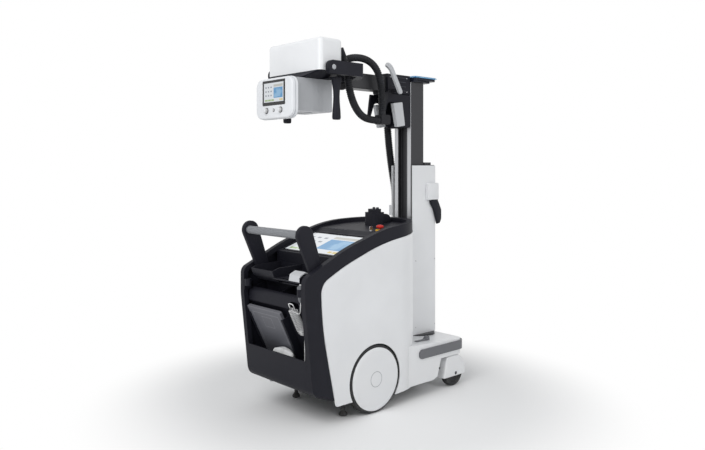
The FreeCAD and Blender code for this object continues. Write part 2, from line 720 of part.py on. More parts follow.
def middle_bin():
    """Make the middle bin with its rolled front lip and end walls."""
    half = LINING_HALF
    back = BIN_LIP_X + BIN_DEPTH
    wall = back - BIN_WALL
    floor = BIN_FLOOR_Z + BIN_WALL
    top = BIN_LIP_Z + 24
    profile = [(BIN_LIP_X, BIN_FLOOR_Z, 12), (back, BIN_FLOOR_Z, 0), (back, top, 0), (wall, top, 0),
               (wall, floor, 6), (BIN_LIP_X + 6, floor, 8), (BIN_LIP_X + 14, BIN_LIP_Z - 10, 20),
               (BIN_LIP_X + 26, BIN_LIP_Z, 3), (BIN_LIP_X + 22, BIN_LIP_Z + 4, 3),
               (BIN_LIP_X + 2, BIN_LIP_Z - 6, 24)]
    trough = prism(profile, "xz", -half, half)
    ends = [(BIN_LIP_X + 4, floor, 0), (wall, floor, 0), (wall, top, 0), (BIN_LIP_X + 24, BIN_LIP_Z + 2, 0)]
    cheek = prism(ends, "xz", half - 4, half)
    divider = prism(ends, "xz", -3, 3)
    right = HANK_Y - NOTCH_HALF
    left = HANK_Y + NOTCH_HALF
    notch = prism([(right, BIN_FLOOR_Z - 1, 0), (left, BIN_FLOOR_Z - 1, 0), (left, BIN_FLOOR_Z + 44, 20),
                   (right, BIN_FLOOR_Z + 44, 20)], "yz", BIN_LIP_X - 1, BIN_LIP_X + 18)
    holder = side_holder()
    return joined(trough, cheek, mirrored(cheek), divider, holder, mirrored(holder)).cut(notch)


def upper_tray():
    """Make the upper tray: a deep curved pocket on the left and an open niche on the right."""
    rear = TRAY_REAR
    low = TRAY_FLOOR_Z - TRAY_WALL
    bottom = rear + 60
    wall = [(rear, TRAY_LIP_Z, 2), (rear + TRAY_WALL, TRAY_LIP_Z, 2), (rear + 17, TRAY_LIP_Z - 30, 50),
            (bottom, TRAY_FLOOR_Z, 0), (bottom, low, 0), (bottom - 4, low, 0),
            (rear + 10, TRAY_LIP_Z - 34, 50)]
    pocket = prism(wall, "xz", POCKET_RIGHT, TRAY_HALF)
    floor = block(bottom - 4, TRAY_BACK, -TRAY_HALF, TRAY_HALF, low, TRAY_FLOOR_Z)
    line = sharp([(rear + 4, TRAY_LIP_Z), (rear + 14, TRAY_LIP_Z - 32), (bottom - 3, low + 1),
                  (TRAY_BACK, low + 1), (TRAY_BACK, TRAY_LIP_Z + 18), (rear + 38, TRAY_LIP_Z + 12)])
    inner_cheek = prism(line, "xz", POCKET_RIGHT, POCKET_RIGHT + TRAY_WALL)
    outer_cheek = prism(line, "xz", TRAY_HALF - 4, TRAY_HALF)
    back = block(TRAY_BACK - TRAY_WALL, TRAY_BACK, -TRAY_HALF, TRAY_HALF, low, TRAY_LIP_Z + 13)
    return joined(floor, pocket, inner_cheek, outer_cheek, back, *tray_niche())


def tray_niche():
    """Make the right half of the tray: a raised shelf with a slot, a side wall and a card reader."""
    rear = TRAY_REAR + 6
    step = rear + 88
    low = TRAY_FLOOR_Z - TRAY_WALL
    top = NICHE_Z + NICHE_THICK
    side = -TRAY_HALF
    shelf = block(rear, step + 6, side, POCKET_RIGHT + 1, NICHE_Z, top)
    shelf = shelf.cut(prism(oblong(rear + 12, rear + 52, -96, -16, 10), "xy", NICHE_Z - 1, top + 1))
    riser = block(step, step + 6, side, POCKET_RIGHT + 1, low, NICHE_Z)
    line = sharp([(rear, NICHE_Z), (step, NICHE_Z), (step, low), (TRAY_BACK, low),
                  (TRAY_BACK, TRAY_LIP_Z + 13), (rear + 28, TRAY_LIP_Z + 6), (rear, TRAY_LIP_Z - 10)])
    cheek = prism(line, "xz", side, side + 4)
    reader = prism([(rear, top, 2), (rear + 58, top, 2), (rear + 58, TRAY_LIP_Z + 8, 4),
                    (rear + 40, TRAY_LIP_Z + 15, 4), (rear + 6, TRAY_LIP_Z, 4)], "xz", side + 4, side + 86)
    return shelf, riser, cheek, reader


def side_holder():
    """Make one open-topped ring holder fixed to the left frame."""
    ring = rod("xy", HOLDER_X, -HOLDER_Y, HOLDER_RADIUS, HOLDER_LOW, HOLDER_HIGH)
    lug = block(HOLDER_X - 12, HOLDER_X + 12, -HOLDER_Y, LINING_HALF, HOLDER_LOW + 4, HOLDER_HIGH - 4)
    arm = block(HOLDER_X - 12, BIN_LIP_X + 16, LINING_HALF - 4, LINING_HALF, BIN_LIP_Z - 8, HOLDER_HIGH - 4)
    hole = rod("xy", HOLDER_X, -HOLDER_Y, SWITCH_RADIUS + 1.5, HOLDER_LOW - 1, HOLDER_HIGH + 1)
    return joined(ring, lug, arm).cut(hole)


def hand_switch():
    """Make the exposure hand switch that hangs in the right holder."""
    corners = [(0, SWITCH_LOW, 0), (8, SWITCH_LOW, 3), (SWITCH_RADIUS, HOLDER_LOW - 8, 8),
               (SWITCH_RADIUS, HOLDER_HIGH + GAP, 0), (SWITCH_RADIUS + 4, HOLDER_HIGH + GAP, 0),
               (SWITCH_RADIUS + 4, HOLDER_HIGH + 10, 4), (SWITCH_RADIUS - 3, SWITCH_TOP, 3),
               (BUTTON_RADIUS + RUNNING, SWITCH_TOP, 0), (BUTTON_RADIUS + RUNNING, WELL_FLOOR, 0),
               (0, WELL_FLOOR, 0)]
    solid = face(corners, "xz", 0).revolve(V(0, 0, 0), V(0, 0, 1), 360)
    solid.translate(V(HOLDER_X, HOLDER_Y, 0))
    return solid


def switch_button():
    """Make the push button in the top of the hand switch."""
    low = WELL_FLOOR + BUTTON_TRAVEL + GAP
    return rod("xy", HOLDER_X, HOLDER_Y, BUTTON_RADIUS, low, SWITCH_TOP + 7)


# Handle

def handle_arm():
    """Make the left handle arm: a flat plate rounded at the bar."""
    inner = HANDLE_INNER
    outer = HANDLE_OUTER
    dx = BAR_X - HANDLE_FOOT_X
    dz = BAR_Z - HANDLE_FOOT_Z
    length = math.hypot(dx, dz)
    half = HANDLE_WIDTH / 2
    nx = dz / length * half
    nz = -dx / length * half
    top_x = BAR_X + dx / length * half
    top_z = BAR_Z + dz / length * half
    low_x = HANDLE_FOOT_X - dx / length * 20
    low_z = HANDLE_FOOT_Z - dz / length * 20
    corners = [(top_x - nx, top_z - nz, half - 1), (top_x + nx, top_z + nz, half - 1),
               (low_x + nx, low_z + nz, 24), (low_x - nx, low_z - nz, 24)]
    plate = prism(corners, "xz", inner, outer)
    plate = plate.makeChamfer(3.0, [edge for edge in plate.Edges if edge.BoundBox.YLength < 1e-6])
    plate = plate.cut(rod("xz", BAR_X, BAR_Z, BAR_RADIUS, inner - 1, inner + 8))
    pin = rod("xz", HANDLE_FOOT_X, HANDLE_FOOT_Z, HANDLE_PIN, outer, outer + 14)
    return joined(plate, pin)


def handle_bar():
    """Make the grey grip bar between the arms."""
    reach = HANDLE_INNER + 8
    return rod("xz", BAR_X, BAR_Z, BAR_RADIUS, -reach, reach)


# Front base, chassis, casters

def deck_z(x):
    """Give the height of the sloping deck."""
    return DECK_REAR_Z + (x - BASE_REAR) * (DECK_FRONT_Z - DECK_REAR_Z) / (BASE_FRONT - BASE_REAR)


def base_form(wall):
    """Make the front base's outer form, or with a wall the hollow inside it."""
    half = BASE_HALF - wall
    low = 53 if wall else 73
    upper = prism(sharp([(BASE_REAR, BASE_UNDER + wall), (BASE_FRONT - wall, BASE_UNDER + wall),
                         (BASE_FRONT - wall, DECK_FRONT_Z - wall), (BASE_REAR, DECK_REAR_Z - wall)]),
                  "xz", -half, half)
    corner = BASE_CORNER - wall
    plan = [(BASE_REAR, -half, 0), (BASE_FRONT - wall, -half, corner), (BASE_FRONT - wall, half, corner),
            (BASE_REAR, half, 0)]
    upper = upper.common(prism(plan, "xy", 0, 2 * BASE_UNDER))
    pocket = CASTER_X - HOOD_FRONT - 8
    lower = prism([(BASE_REAR, low, 0), (pocket - 66 - wall, low, 0), (pocket - 30 - wall, 86, 0),
                   (pocket - wall, BASE_UNDER + wall, 0), (BASE_REAR, BASE_UNDER + wall, 0)],
                  "xz", -half, half)
    nose_half = CASTER_Y - HOOD_FRONT - 12 - wall
    nose = block(pocket - 60, BASE_FRONT - 14 - wall, -nose_half, nose_half, low + 39, BASE_UNDER + wall + 1)
    return joined(upper, lower, nose)


def base_cover():
    """Make the white moulded base: deck, sides and caster pockets."""
    shell = base_form(0).cut(base_form(BASE_WALL))
    body = prism(body_plan(-GAP), "xy", 0, BODY_TOP)
    well = rod("xy", COLUMN_X, 0, TURNTABLE_RADIUS + 3, BASE_UNDER + 2 * BASE_WALL, CASING_BOTTOM)
    shell = shell.cut(body).cut(well)
    shell = shell.cut(rod("xy", LOCK_X, LOCK_Y, LOCK_PIN + RUNNING, BUMPER_LOW, CASING_BOTTOM))
    for side in (-1, 1):
        shell = shell.cut(rod("xy", CASTER_X, side * CASTER_Y, STEM_RADIUS + 6, HOOD_TOP, BASE_UNDER + 11))
        shell = shell.cut(rod("xz", PLUG_X, PLUG_Z, PLUG_RADIUS, side * BASE_HALF - 10, side * BASE_HALF + 10))
    return shell


def bumper_strip():
    """Make the grey collision strip that wraps the front of the base."""
    inner_half = BASE_HALF + GAP
    outer_half = inner_half + BUMPER_THICK
    inner_front = BASE_FRONT + BUMPER_TRAVEL + GAP
    outer_front = inner_front + BUMPER_THICK
    outer = prism([(BUMPER_START, -outer_half, 0), (outer_front, -outer_half, BASE_CORNER + 8),
                   (outer_front, outer_half, BASE_CORNER + 8), (BUMPER_START, outer_half, 0)],
                  "xy", BUMPER_LOW, BUMPER_HIGH)
    inner = prism([(BUMPER_START - 1, -inner_half, 0), (inner_front, -inner_half, BASE_CORNER),
                   (inner_front, inner_half, BASE_CORNER), (BUMPER_START - 1, inner_half, 0)],
                  "xy", BUMPER_LOW - 1, BUMPER_HIGH + 1)
    side = [(BUMPER_START, BUMPER_LOW, 22), (outer_front + 5, BUMPER_LOW, 0),
            (outer_front + 5, BUMPER_HIGH, 0), (BUMPER_START, BUMPER_HIGH, 22)]
    return outer.cut(inner).common(prism(side, "xz", -outer_half - 5, outer_half + 5))


def chassis():
    """Make the welded steel chassis: floor, rails, column socket and caster arms."""
    front = BASE_FRONT - 40
    floor_front = CONSOLE_FRONT - 39
    floor = block(CHASSIS_REAR, floor_front, -CHASSIS_HALF, CHASSIS_HALF, CHASSIS_FLOOR_Z, CHASSIS_TOP)
    floor = floor.common(prism(body_plan(FRAME_DEPTH + GAP), "xy", 0, BODY_TOP))
    solids = [floor]
    for side in (-1, 1):
        y0 = side * RAIL_Y - RAIL_WIDTH / 2
        solids.append(block(CHASSIS_REAR, front, y0, y0 + RAIL_WIDTH, CHASSIS_TOP + RAIL_LIFT, RAIL_TOP))
        solids.append(block(CHASSIS_REAR, floor_front - 10, y0, y0 + RAIL_WIDTH, CHASSIS_TOP,
                            CHASSIS_TOP + RAIL_LIFT))
        solids += caster_arm(side)
    solids.append(block(COLUMN_X - 90, front, -RAIL_Y - 15, RAIL_Y + 15, RAIL_TOP, RAIL_TOP + 8))
    solids.append(rod("xy", COLUMN_X, 0, SOCKET_RADIUS, RAIL_TOP, CASING_BOTTOM - TURNTABLE_THICK - GAP))
    body = joined(*solids)
    for side in (-1, 1):
        body = body.cut(rod("xy", CASTER_X, side * CASTER_Y, STEM_RADIUS + RUNNING, BASE_UNDER, DECK_FRONT_Z))
    return body.cut(rod("xy", COLUMN_X, 0, SPINDLE_RADIUS + RUNNING, RAIL_TOP - 4, CASING_BOTTOM))


def caster_arm(side):
    """Make the cross arm and upright that carry one caster's stem."""
    low = BASE_UNDER + BASE_WALL
    high = low + CASTER_ARM_HEIGHT
    rear = CASTER_X - CASTER_ARM_HALF
    front = CASTER_X + CASTER_ARM_HALF
    ends = sorted((side * RAIL_Y, side * (CASTER_Y + 22)))
    y0 = side * RAIL_Y - RAIL_WIDTH / 2
    return [block(rear, front, ends[0], ends[1], low, high),
            block(rear, front, y0, y0 + RAIL_WIDTH, RAIL_TOP - 2, high)]


def caster_hood():
    """Make the left caster's white hood with its stem and axle pin."""
    rear = CASTER_X - HOOD_REAR
    front = CASTER_X + HOOD_FRONT
    outer = prism([(rear, HOOD_BOTTOM, 8), (rear + 30, HOOD_TOP, 26), (front - 42, HOOD_TOP, 60),
                   (front, HOOD_TOP - 66, 44), (front, HOOD_BOTTOM, 8)],
                  "xz", CASTER_Y - HOOD_HALF, CASTER_Y + HOOD_HALF)
    brim = HOOD_BOTTOM + 13
    outer = softened(outer, 9.0, lambda edge: edge.BoundBox.YLength < 1e-6 and edge.BoundBox.ZMax > brim)
    wall = HOOD_WALL
    inner = prism([(rear + wall + 1, HOOD_BOTTOM - 20, 0), (rear + 30 + wall, HOOD_TOP - wall, 21),
                   (front - 42 - wall, HOOD_TOP - wall, 56), (front - wall, HOOD_TOP - 66 - wall, 40),
                   (front - wall, HOOD_BOTTOM - 20, 0)],
                  "xz", CASTER_Y - HOOD_HALF + wall, CASTER_Y + HOOD_HALF - wall)
    stem_top = BASE_UNDER + BASE_WALL + CASTER_ARM_HEIGHT
    stem = rod("xy", CASTER_X, CASTER_Y, STEM_RADIUS, HOOD_TOP - 3, stem_top)
    axle = rod("xz", CASTER_X + CASTER_TRAIL, CASTER_RADIUS, CASTER_PIN,
               CASTER_Y - HOOD_HALF + 2, CASTER_Y + HOOD_HALF - 2)
    return joined(outer.cut(inner), stem, axle)


def caster_wheel():
    """Make the left caster wheel: hub, web and moulded tread."""
    half = CASTER_TYRE_WIDTH / 2
    hub = HOOD_HALF - HOOD_WALL - GAP
    rim = CASTER_RADIUS - CASTER_TREAD
    corners = sharp([(CASTER_PIN + RUNNING, -hub), (16, -hub), (19, -half + 8), (rim - 10, -half + 8),
                     (rim - 4, -half + 1), (rim, -half + 1), (rim, half - 1), (rim - 4, half - 1),
                     (rim - 10, half - 8), (19, half - 8), (16, hub), (CASTER_PIN + RUNNING, hub)])
    tread = [(rim, -half, 0), (CASTER_RADIUS, -half, 9), (CASTER_RADIUS, half, 9), (rim, half, 0)]
    centre = CASTER_X + CASTER_TRAIL
    solid = joined(spun(corners, centre, CASTER_RADIUS), spun(tread, centre, CASTER_RADIUS))
    solid.translate(V(0, CASTER_Y, 0))
    return solid


# Drive wheels

def drive_wheel():
    """Make the left drive wheel: hub, web, rim and white outer disc."""
    inner = WHEEL_FACE - WHEEL_WIDTH
    disc = WHEEL_FACE - DISC_THICK
    shaft = SHAFT_RADIUS + RUNNING
    corners = [(shaft, inner, 0), (HUB_RADIUS, inner, 0), (HUB_RADIUS, disc - 20, 0),
               (RIM_RADIUS - 12, disc - 14, 0), (RIM_RADIUS - 8, inner + 2, 0), (RIM_RADIUS, inner + 2, 0),
               (RIM_RADIUS, disc, 0), (COVER_RADIUS, disc, 0), (COVER_RADIUS, WHEEL_FACE - 3, 2),
               (COVER_RADIUS - 16, WHEEL_FACE, 30),
               (0, WHEEL_FACE, 0), (0, disc - 6, 0), (shaft, disc - 6, 0)]
    return spun(corners, 0, WHEEL_RADIUS)


def drive_tyre():
    """Make the left drive tyre with its two tread grooves."""
    inner = WHEEL_FACE - WHEEL_WIDTH + 1
    outer = WHEEL_FACE - DISC_THICK - GAP
    middle = (inner + outer) / 2
    tread = WHEEL_RADIUS
    root = tread - GROOVE
    corners = [(RIM_RADIUS, inner, 0), (tread, inner, 8)]
    for groove in (middle - GROOVE_OFFSET, middle + GROOVE_OFFSET):
        low = groove - GROOVE / 2
        high = groove + GROOVE / 2
        corners += sharp([(tread, low), (root, low), (root, high), (tread, high)])
    corners += [(tread, outer, 8), (RIM_RADIUS, outer, 0)]
    return spun(corners, 0, WHEEL_RADIUS)


def drive_motor():
    """Make the left gear motor with its output shaft."""
    face_y = CHASSIS_HALF + 6
    inner = face_y - MOTOR_LENGTH
    plan = oblong(-GEARBOX_HALF, GEARBOX_HALF, CHASSIS_TOP, WHEEL_RADIUS + 84, 18)
    gearbox = prism(plan, "xz", inner, face_y)
    shaft = rod("xz", 0, WHEEL_RADIUS, SHAFT_RADIUS, face_y, WHEEL_FACE - DISC_THICK - 8)
    motor = rod("xz", -18, WHEEL_RADIUS + MOTOR_RADIUS + 2, MOTOR_RADIUS, inner - 60, inner)
    return joined(gearbox, shaft, motor)


def stabiliser_foot():
    """Make the left rubber foot that stops the body tipping back."""
    corners = sharp([(0, 3), (FOOT_RADIUS - 2, 3), (FOOT_RADIUS, 6), (FOOT_RADIUS - 2, 14), (10, 26),
                     (8, CHASSIS_FLOOR_Z), (0, CHASSIS_FLOOR_Z)])
    solid = face(corners, "xz", 0).revolve(V(0, 0, 0), V(0, 0, 1), 360)
    solid.translate(V(FOOT_X, FOOT_Y, 0))
    return solid


# Column

def turntable():
    """Make the disc and spindle that carry the column."""
    low = CASING_BOTTOM - TURNTABLE_THICK
    disc = rod("xy", COLUMN_X, 0, TURNTABLE_RADIUS, low, CASING_BOTTOM)
    spindle = rod("xy", COLUMN_X, 0, SPINDLE_RADIUS, low - SPINDLE_LENGTH, low)
    return joined(disc, spindle)


def casing_plan(inset):
    """Give the plan of the white column casing, open towards the rear."""
    half = CASING_HALF - inset
    corner = CASING_CORNER - inset
    rear = CASING_REAR - (5 if inset else 0)
    return [(rear, -half, 0), (CASING_FRONT - inset, -half, corner),
            (CASING_FRONT - inset, half, corner), (rear, half, 0)]


def column_casing():
    """Make the white U-shaped column casing with its stepped grip recess."""
    outer = prism(casing_plan(0), "xy", CASING_BOTTOM, CASING_TOP)
    shell = outer.cut(prism(casing_plan(CASING_WALL), "xy", CASING_BOTTOM - 1, CASING_TOP + 1))
    for side in (-1, 1):
        recess = [(CASING_FRONT - 76, RECESS_LOW, 4), (CASING_FRONT - 14, RECESS_LOW, 4),
                  (CASING_FRONT - 14, RECESS_HIGH, 4), (CASING_FRONT - 42, RECESS_HIGH, 14)]
        shell = shell.cut(prism(recess, "xz", side * CASING_HALF - 2.2, side * CASING_HALF + 2.2))
    gland = prism([(DROP_END_X - GLAND_HALF, CASING_HALF, 0), (DROP_END_X + GLAND_HALF, CASING_HALF, 0),
                   (DROP_END_X + GLAND_HALF, DROP_Y + GLAND_HALF, 8),
                   (DROP_END_X - GLAND_HALF, DROP_Y + GLAND_HALF, 8)], "xy", DROP_END_Z - 60, DROP_END_Z)
    return joined(shell, gland)


def column_post():
    """Make the inner aluminium post with the two strips that the mast slides on."""
    rear = MAST_FRONT + GUIDE_THICK
    post = prism(oblong(rear, POST_FRONT, -POST_HALF, POST_HALF, 4), "xy", CASING_BOTTOM, CASING_TOP - 8)
    inner = POST_HALF - POST_WALL
    bore = prism(oblong(rear + POST_WALL, POST_FRONT - POST_WALL, -inner, inner, 4), "xy", CASING_BOTTOM - 1,
                 CASING_TOP)
    strips = []
    for side in (-1, 1):
        y0 = side * GUIDE_Y - GUIDE_HALF
        strips.append(block(MAST_FRONT + RUNNING, rear + 1, y0, y0 + 2 * GUIDE_HALF, CASING_BOTTOM,
                            CASING_TOP - 20))
    return joined(post.cut(bore), turntable(), casing_lid(), *strips)


def casing_lid():
    """Make the dark stepped lid over the front half of the casing."""
    inner = CASING_HALF - CASING_WALL - GAP
    rear = MAST_FRONT + 2
    plug = oblong(rear, CASING_FRONT - CASING_WALL - GAP, -inner, inner, CASING_CORNER)
    plug = prism(plug, "xy", CASING_TOP - 8, CASING_TOP + 2)
    step = oblong(rear, CASING_FRONT - 36, 6 - inner, inner - 6, 6)
    step = prism(step, "xy", CASING_TOP + 2, CASING_TOP + 18)
    return joined(plug, step)


def casing_hook():
    """Make the black bent handle on the right of the casing."""
    y0 = -CASING_HALF
    rear = CASING_FRONT - 50
    top = CASING_TOP - 152
    outline = [(rear, top, 6), (rear + 36, top, 6), (rear + 74, top - 82, 14), (rear + 73, top - 162, 8),
               (rear + 58, top - 166, 6), (rear + 50, top - 92, 12), (rear + 20, top - 32, 8),
               (rear, top - 26, 6)]
    plate = prism(outline, "xz", y0 - 16, y0 - 4)
    stand = prism(oblong(rear + 4, rear + 30, top - 24, top - 4, 6), "xz", y0 - 4, y0)
    return joined(plate, stand)


def mast_plan():
    """Give the mast's plan: a rectangle with a deep channel in its rear face."""
    rear = MAST_REAR + RAIL_PROUD
    return [(rear, -MAST_HALF, 4), (MAST_FRONT, -MAST_HALF, 4), (MAST_FRONT, MAST_HALF, 4),
            (rear, MAST_HALF, 4), (rear, CHANNEL_HALF, 1), (rear + CHANNEL_DEPTH, CHANNEL_HALF, 2),
            (rear + CHANNEL_DEPTH, -CHANNEL_HALF, 2), (rear, -CHANNEL_HALF, 1)]


def mast():
    """Make the black mast extrusion."""
    shape = prism(mast_plan(), "xy", MAST_BOTTOM, MAST_TOP)
    rear = MAST_REAR + RAIL_PROUD + CHANNEL_DEPTH + MAST_WALL
    core = prism(oblong(rear, MAST_FRONT - MAST_WALL, MAST_WALL - MAST_HALF, MAST_HALF - MAST_WALL, 6), "xy",
                 MAST_BOTTOM - 1, MAST_TOP - 10)
    return shape.cut(core)


def mast_rails():
    """Make the two bright rails on the rear face of the mast."""
    rails = []
    for side in (-1, 1):
        y0 = side * (CHANNEL_HALF + MAST_HALF) / 2
        rails.append(prism(oblong(MAST_REAR, MAST_REAR + RAIL_PROUD, y0 - 13, y0 + 13, 0.8), "xy",
                           MAST_BOTTOM + 4, MAST_TOP - 4))
    return rails


def lift_belt():
    """Make the toothed lift belt that runs up the channel."""
    base_x = MAST_REAR + RAIL_PROUD + CHANNEL_DEPTH
    low = MAST_BOTTOM + 10
    high = MAST_TOP - 10
    count = int((high - low) / BELT_PITCH)
    right = 2 - CHANNEL_HALF
    left = right + BELT_WIDTH
    face_x = base_x - BELT_THICK
    strip = block(face_x, base_x, right, left, low, high)
    teeth = []
    for index in range(count):
        z = low + index * BELT_PITCH
        teeth.append(block(face_x - BELT_PROUD, face_x, right, left, z, z + BELT_TOOTH))
    return strip.multiFuse(teeth)


def mast_cap():
    """Make the stepped cap on top of the mast."""
    low = MAST_TOP
    rear = MAST_REAR + 8
    front = MAST_FRONT + 76
    half = MAST_HALF + 27
    plate = prism([(rear, -half, 16), (front, -half, 14), (front, half, 14), (rear, half, 16)], "xy", low + 10,
                  low + 22)
    under = prism([(rear + 4, 6 - half, 12), (front - 24, 22 - half, 12), (front - 24, half - 22, 12),
                   (rear + 4, half - 6, 12)], "xy", low, low + 10)
    band = prism([(rear - 4, -half - 4, 18), (front + 4, -half - 4, 16), (front + 4, half + 4, 16),
                  (rear - 4, half + 4, 18)], "xy", low + 22, low + 31)
    return joined(plate, under, band)


# Carriage and arm

def carriage():
    """Make the carriage that runs up the mast: back plate, cheeks and channel shoe."""
    rear = CARRIAGE_REAR
    front = MAST_REAR - GAP
    plate = prism([(rear, CARRIAGE_BOTTOM, 22), (front, CARRIAGE_BOTTOM + 10, 16), (front, ARM_BOTTOM, 0),
                   (rear, ARM_BOTTOM, 0)], "xz", -ARM_HALF, ARM_HALF)
    neck = block(front, MAST_REAR + RAIL_PROUD + 4, -CHANNEL_HALF + 4, CHANNEL_HALF - 4, CARRIAGE_BOTTOM + 30,
                 ARM_BOTTOM + 60)
    shoe_front = MAST_REAR + RAIL_PROUD + CHANNEL_DEPTH - 14
    shoe = block(MAST_REAR + RAIL_PROUD + 2, shoe_front, -CHANNEL_HALF + RUNNING, CHANNEL_HALF - RUNNING,
                 CARRIAGE_BOTTOM + 30, ARM_BOTTOM + 60)
    left = DROP_Y + GLAND_HALF
    gland = prism([(DROP_START_X - GLAND_HALF, ARM_HALF, 0), (front, ARM_HALF, 0), (front, left, 8),
                   (DROP_START_X - GLAND_HALF, left, 8)], "xy", DROP_START_Z, DROP_START_Z + 54)
    bracket = bracket_plate()
    return joined(plate, neck, shoe, gland, bracket, mirrored(bracket))


def arm_housing():
    """Make the square arm housing with its open rear end."""
    front = MAST_REAR - GAP
    top = ARM_BOTTOM + ARM_HEIGHT
    outer = prism([(-ARM_HALF, ARM_BOTTOM, 14), (ARM_HALF, ARM_BOTTOM, 14), (ARM_HALF, top, 6),
                   (-ARM_HALF, top, 6)], "yz", ARM_REAR, front)
    bore = block(ARM_REAR - 1, front - 10, -BOOM_HALF - RUNNING, BOOM_HALF + RUNNING,
                 BOOM_BOTTOM - RUNNING, BOOM_BOTTOM + BOOM_HEIGHT + RUNNING)
    return outer.cut(bore)


def bracket_plate():
    """Make the left lambda-shaped bracket under the arm housing."""
    rear = ARM_REAR - 50
    low = CARRIAGE_BOTTOM + 8
    outline = [(rear + 22, ARM_BOTTOM, 0), (CARRIAGE_REAR, ARM_BOTTOM, 0), (CARRIAGE_REAR, low, 6),
               (CARRIAGE_REAR - 26, low, 10), (ARM_REAR + 52, ARM_BOTTOM - 42, 30),
               (ARM_REAR, ARM_BOTTOM - 50, 16), (rear + 12, ARM_BOTTOM - 150, 5), (rear, ARM_BOTTOM - 148, 5)]
    return prism(outline, "xz", ARM_HALF - 12, ARM_HALF)


def side_pad():
    """Make the left light-grey slanted pad on the bracket."""
    outline = [(ARM_REAR + 22, ARM_BOTTOM - 54, 6), (ARM_REAR + 92, ARM_BOTTOM - 44, 6),
               (CARRIAGE_REAR - 16, CARRIAGE_BOTTOM + 16, 6), (ARM_REAR + 52, CARRIAGE_BOTTOM + 6, 6)]
    return prism(outline, "xz", ARM_HALF + GAP, ARM_HALF + PAD_THICK)


def hose_hanger():
    """Make the curved bar that holds the hoses against the arm, joined to their clamp."""
    y0 = -ARM_HALF
    outline = [(ARM_REAR - 78, ARM_Z + 85, 6), (ARM_REAR - 64, ARM_Z + 104, 6),
               (ARM_REAR - 32, ARM_Z + 93, 60), (ARM_REAR + 52, ARM_Z - 52, 12),
               (ARM_REAR + 30, ARM_Z - 65, 12), (ARM_REAR - 46, ARM_Z + 67, 60)]
    bar = prism(outline, "xz", y0 - 66, y0 - 52)
    stand = prism(oblong(ARM_REAR + 18, ARM_REAR + 38, ARM_Z - 49, ARM_Z - 29, 6), "xz", y0 - 52, y0)
    return joined(bar, stand, hose_clamp())


def hose_clamp():
    """Make the clamp block that gathers the hoses, with its strap to the bracket."""
    plan = oblong(CLAMP_X - CLAMP_HALF, CLAMP_X + CLAMP_HALF, CLAMP_Z - CLAMP_HEIGHT_HALF,
                  CLAMP_Z + CLAMP_HEIGHT_HALF, 10)
    body = prism(plan, "xz", HOSE_Y - HOSE_RADIUS - 5, -ARM_HALF)
    strap = prism([(ARM_REAR - 60, CLAMP_Z + 20, 0), (ARM_REAR - 40, CLAMP_Z + 20, 0),
                   (ARM_REAR - 2, ARM_BOTTOM - 8, 20), (ARM_REAR + 38, ARM_BOTTOM + 6, 0),
                   (ARM_REAR + 38, ARM_BOTTOM + 26, 0), (ARM_REAR + 18, ARM_BOTTOM + 26, 0),
                   (ARM_REAR - 28, ARM_BOTTOM, 20)], "xz", -ARM_HALF - 6, -ARM_HALF)
    return joined(body, strap)


def tube(points, radius, label):
    """Sweep a hose of straight runs joined by tangent arcs and print its bend radii."""
    path = [V(*point) for point in points]
    edges = []
    start = path[0]
    bends = []
    for index in range(1, len(path) - 1):
        back = path[index - 1] - path[index]
        ahead = path[index + 1] - path[index]
        reach = 0.45 * min(back.Length, ahead.Length)
        half_turn = (math.pi - back.getAngle(ahead)) / 2
        back.normalize()
        ahead.normalize()
        bend = reach / math.tan(half_turn)
        bends.append(bend)
        inward = (back + ahead).normalize() * (bend / math.cos(half_turn) - bend)
        first = path[index] + back * reach
        last = path[index] + ahead * reach
        edges.append(Part.LineSegment(start, first).toShape())
        edges.append(Part.Arc(first, path[index] + inward, last).toShape())
        start = last
    edges.append(Part.LineSegment(start, path[-1]).toShape())
    wire = Part.Wire(edges)
    ring = Part.Wire([Part.makeCircle(radius, path[0], path[1] - path[0])])
    solid = wire.makePipeShell([ring], True, False)
    expected = math.pi * radius * radius * wire.Length
    print("%s: length %.0f, least bend %.0f, volume %.4f" % (label, wire.Length, min(bends),
                                                            solid.Volume / expected))
    return solid


def pouch():
    """Make the soft white pouch that stands in the lower pocket."""
    rear = 55.0 - BODY_BACK
    line = [(rear, POCKET_FLOOR_Z, 14), (rear + 46, POCKET_FLOOR_Z, 14), (rear + 42, POCKET_EDGE_Z + 10, 18),
            (rear, POCKET_EDGE_Z + 6, 18)]
    return prism(line, "xz", POUCH_LEFT - POUCH_WIDTH, POUCH_LEFT)


def cord_hank():
    """Make the outer shape of the curly cord hung in two folds."""
    lift = LINER_OFFSET - HANK_RADIUS - GAP
    top_x, top_z = leaning(HANK_TOP, lift)
    end_x, end_z = leaning(HANK_TOP + HANK_LENGTH, lift)
    solids = []
    for side in (-1, 1):
        high = V(top_x, HANK_Y + side * HANK_SPREAD, top_z)
        down = V(end_x, HANK_Y + side * HANK_SPREAD, end_z) - high
        solids.append(Part.makeCylinder(HANK_RADIUS, down.Length, high, down))
        solids.append(Part.makeSphere(HANK_RADIUS, high))
    middle = V(end_x, HANK_Y, end_z)
    bow = Part.makeTorus(HANK_SPREAD, HANK_RADIUS, middle, V(math.cos(LEAN), 0, math.sin(LEAN)))
    reach = 2 * (HANK_SPREAD + HANK_RADIUS)
    below = Part.makeBox(2 * reach, 2 * reach, reach, V(-reach, -reach, 0))
    below.Placement = FreeCAD.Placement(middle, FreeCAD.Rotation(V(0, 0, 1), down))
    solids.append(bow.common(below))
    return joined(*solids)


def switch_cords():
    """Make the thin cords from the hand switch to the hank and from the hank to the pocket."""
    upper = tube(SWITCH_ROUTE, CORD_RADIUS, "switch cord")
    lower = tube(POCKET_ROUTE, CORD_RADIUS, "pocket cord")
    return [upper, lower]


